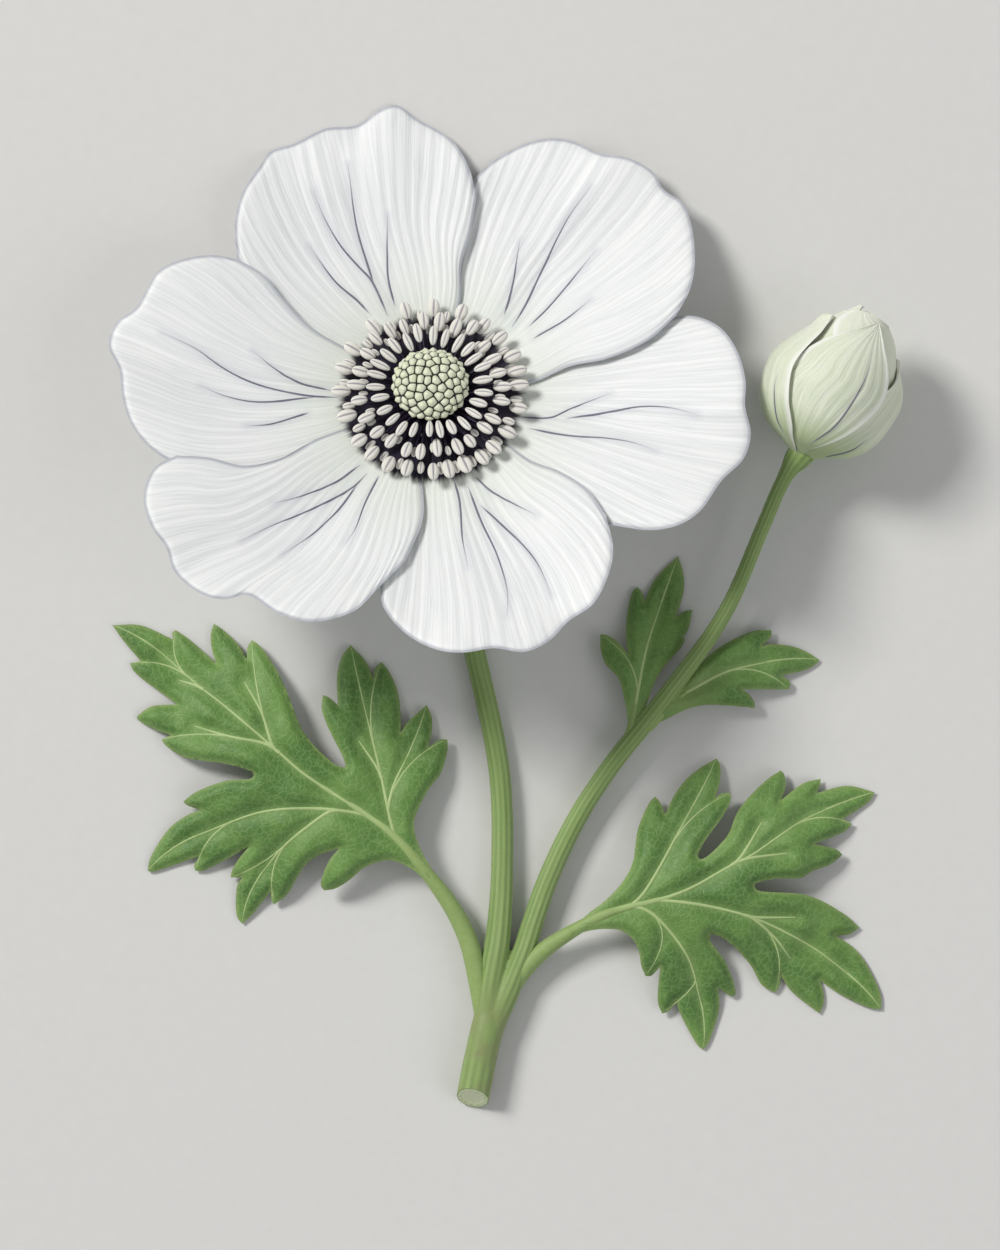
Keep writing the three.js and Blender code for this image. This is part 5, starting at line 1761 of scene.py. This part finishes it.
# %% Grow a tepal
TEPAL_COLUMNS = 70
TEPAL_ROWS = 90
TEPAL_RIBS = 9
TEPAL_RIB_HEIGHT = 0.04
TEPAL_FLARE = 0.22
TEPAL_MARGIN = 0.08
SHUTTING = 1.8

bud_right = np.cross(BUD_AXIS, UP)
bud_right = bud_right / np.linalg.norm(bud_right)
bud_upward = np.cross(bud_right, BUD_AXIS)


def tepal_form(tepal):
    edges = tepal["edges"]
    first_edge = smooth_table([(along, first) for along, first, _ in edges])
    second_edge = smooth_table([(along, second) for along, _, second in edges])
    across, out = np.meshgrid(np.linspace(0, 1, TEPAL_COLUMNS + 1), np.linspace(0, 1, TEPAL_ROWS + 1))
    along = edges[-1][0] * out
    angle = np.radians(first_edge(along) * (1 - across) + second_edge(along) * across)
    higher = smoothstep(along, 0.5, 0.75)
    low, high = [layer[0] + (layer[1] - layer[0]) * higher for layer in tepal["layers"]]
    layer = low + (high - low) * smoothstep(across, 0.18, 0.42)
    ribs = TEPAL_RIB_HEIGHT * np.cos(2 * np.pi * TEPAL_RIBS * across) * smoothstep(out, 0.02, 0.3)
    shut = smoothstep(along, 0.66, 0.95) * smoothstep(-np.cos(angle), 0, 0.85)
    lying_closer = 1 - 0.25 * smoothstep(out, 0.75, 1)
    to_edge = np.minimum(across, 1 - across)
    flared = TEPAL_FLARE * (1 - smoothstep(to_edge, 0, 0.09)) * smoothstep(out, 0.05, 0.3)
    inmost = bud_radius(along) * (1 - SHUTTING * shut)
    middle = inmost + layer * layer_step(along) * lying_closer + ribs + flared
    half = TEPAL_THICKNESS / 2 * (0.35 + 0.65 * smoothstep(to_edge, 0, TEPAL_MARGIN))

    def skin(radius):
        sideways = bud_lean(along) + radius * np.sin(angle)
        return (
            BUD_FOOT + BUD_AXIS * (along * BUD_LENGTH)[..., None]
            + bud_right * sideways[..., None] + bud_upward * (radius * np.cos(angle))[..., None]
        )

    return sheet(skin(middle - half), skin(middle + half), 1, 0, across=across, out=out, along=along)


# %% [markdown]
# ## Bud finishes
# The outside of a closed bud is greenish white, greener at its foot and along its ribs, with a silky
# down. Each tepal's margin is thinner and so paler, which sets it off from the one it lies on. Inside
# the overlaps it is smooth and white.

# %% Bud finishes
def tepal_outside():
    finish = Finish("silky_bud_tepal")
    across, out, along = finish.value("across"), finish.value("out"), finish.value("along")
    place = finish.millimetres()
    lines = fine_veins(finish, across, out, 26, 1.0) * (1 - finish.fade(out, 0.55, 1) * 0.85)
    cream = finish.blend(finish.noise(place, 0.25, 3), (0.84, 0.86, 0.74), (0.75, 0.8, 0.64))
    veined = finish.blend(lines * 0.5, cream, (0.5, 0.6, 0.36))
    feather = finish.noise(finish.vector(across * 14, out * 2), 1.0, 2) * 0.12
    foot = 1 - finish.fade(along + feather, 0.08, 0.42)
    greened = finish.blend(foot * 0.8, veined, (0.38, 0.5, 0.2))
    margin = finish.fade(abs(across * 2 - 1), 0.86, 0.97)
    colour = finish.blend(margin * 0.75, greened, (0.95, 0.95, 0.9))
    down = finish.noise(finish.vector(across * 110, out * 22), 1.0, 2)
    return finish.done(
        colour, 0.5 + down * 0.2, finish.bump(lines * 0.5 + down * 0.5, 0.08, 0.8),
        Subsurface_Weight=0.1, Subsurface_Radius=(0.9, 1.0, 0.6), Subsurface_Scale=0.001,
        Sheen_Weight=0.3, Sheen_Roughness=0.4, Specular_IOR_Level=0.35,
    )


def tepal_inside():
    colours = (0.86, 0.87, 0.8), (0.78, 0.8, 0.7)
    return grained(
        "smooth_tepal_inside", (3.0, 3), colours, (0.5, 0.15), (0.05, 0.5), Specular_IOR_Level=0.35,
    )


# %% Grow the bud
BUD_VEIN_WIDTH = smooth_table([(0, 0.08), (0.3, 0.16), (0.7, 0.12), (1, 0.04)])

bud_finishes = [tepal_outside(), tepal_inside(), petal_finishes[VEIN_FINISH]]
for node, tepal in TEPALS.items():
    form = with_veins(tepal_form(tepal), tepal["veins"], BUD_VEIN_WIDTH)
    make_piece("closed_" + node, form, bud_finishes, [node])
print("bud:", len(TEPALS), "tepals,", BUD_LENGTH, "mm long")

# %% [markdown]
# ## Floor, light and camera
# The flower lies on a plain pale surface, whose far rim curves up, as a studio's paper roll does, so
# that no horizon cuts the low views. One broad softbox from the upper left models the relief,
# a weaker one opposite opens the shadows, and a pale world fills the rest. The camera looks
# straight down from far away with a long lens, so that nothing is distorted.

# %% Floor
def floor_finish():
    colours = (0.68, 0.675, 0.66), (0.72, 0.715, 0.7)
    return grained("plain_pale_floor", (0.5, 4), colours, (0.85, 0.1), (0.1, 0.2), Specular_IOR_Level=0.2)


FLOOR_PROFILE = [(2.7, 0), (3, 0), (3.4, 0.03), (3.7, 0.14), (3.9, 0.36), (4, 0.7)]
FLOOR_SIDES = 96
floor_rings = [spun(radius, height, way_round(FLOOR_SIDES)) for radius, height in FLOOR_PROFILE]
floor_faces = ring_faces(len(floor_rings), FLOOR_SIDES, inside_out=True)[:-1]
floor_mesh = bpy.data.meshes.new("pale_floor")
floor_mesh.from_pydata(np.vstack(floor_rings), [], floor_faces)
floor_mesh.shade_smooth()
floor_mesh.materials.append(floor_finish())
floor = bpy.data.objects.new("pale_floor", floor_mesh)
bpy.context.scene.collection.objects.link(floor)
print("floor, m across:", 2 * FLOOR_PROFILE[-1][0])


# %% Lights
WORLD_COLOUR = (0.97, 0.98, 1.0)
WORLD_STRENGTH = 0.36


def softbox(name, place, size, power, colour):
    """A square light that faces the flower. Place and size are in metres, power in watts."""
    light = bpy.data.lights.new(name, "AREA")
    light.size = size
    light.energy = power
    light.color = colour
    box = bpy.data.objects.new(name, light)
    box.location = place
    box.rotation_euler = (-Vector(place)).to_track_quat("-Z", "Y").to_euler()
    bpy.context.scene.collection.objects.link(box)


softbox("key_softbox", (-1.5, 1.2, 1.7), 0.7, 50.0, (1.0, 0.985, 0.96))
softbox("fill_softbox", (1.8, -0.9, 1.6), 1.6, 10.0, (0.97, 0.985, 1.0))

world = bpy.data.worlds.new("pale_studio")
world.use_nodes = True
background = world.node_tree.nodes["Background"]
background.inputs["Color"].default_value = (*WORLD_COLOUR, 1)
background.inputs["Strength"].default_value = WORLD_STRENGTH
bpy.context.scene.world = world
bpy.context.scene.view_settings.view_transform = "Standard"

# %% Camera
# What the picture takes in, in millimetres of the plan.
PICTURE_HEIGHT = 177.5
PICTURE_MIDDLE = (9.8, -33.37)
LENS = 300.0
SENSOR = 36.0

camera_data = bpy.data.cameras.new("camera")
camera_data.lens = LENS
camera_data.sensor_width = SENSOR
camera_data.clip_end = 10
camera = bpy.data.objects.new("camera", camera_data)
aim = (np.array([*PICTURE_MIDDLE, 0]) + PLAN_TO_FRAME) * MM
camera.location = (aim[0], aim[1], PICTURE_HEIGHT * LENS / SENSOR * MM)
bpy.context.scene.collection.objects.link(camera)
bpy.context.scene.camera = camera
print("camera stands", round(camera.location.z, 3), "m above the surface")
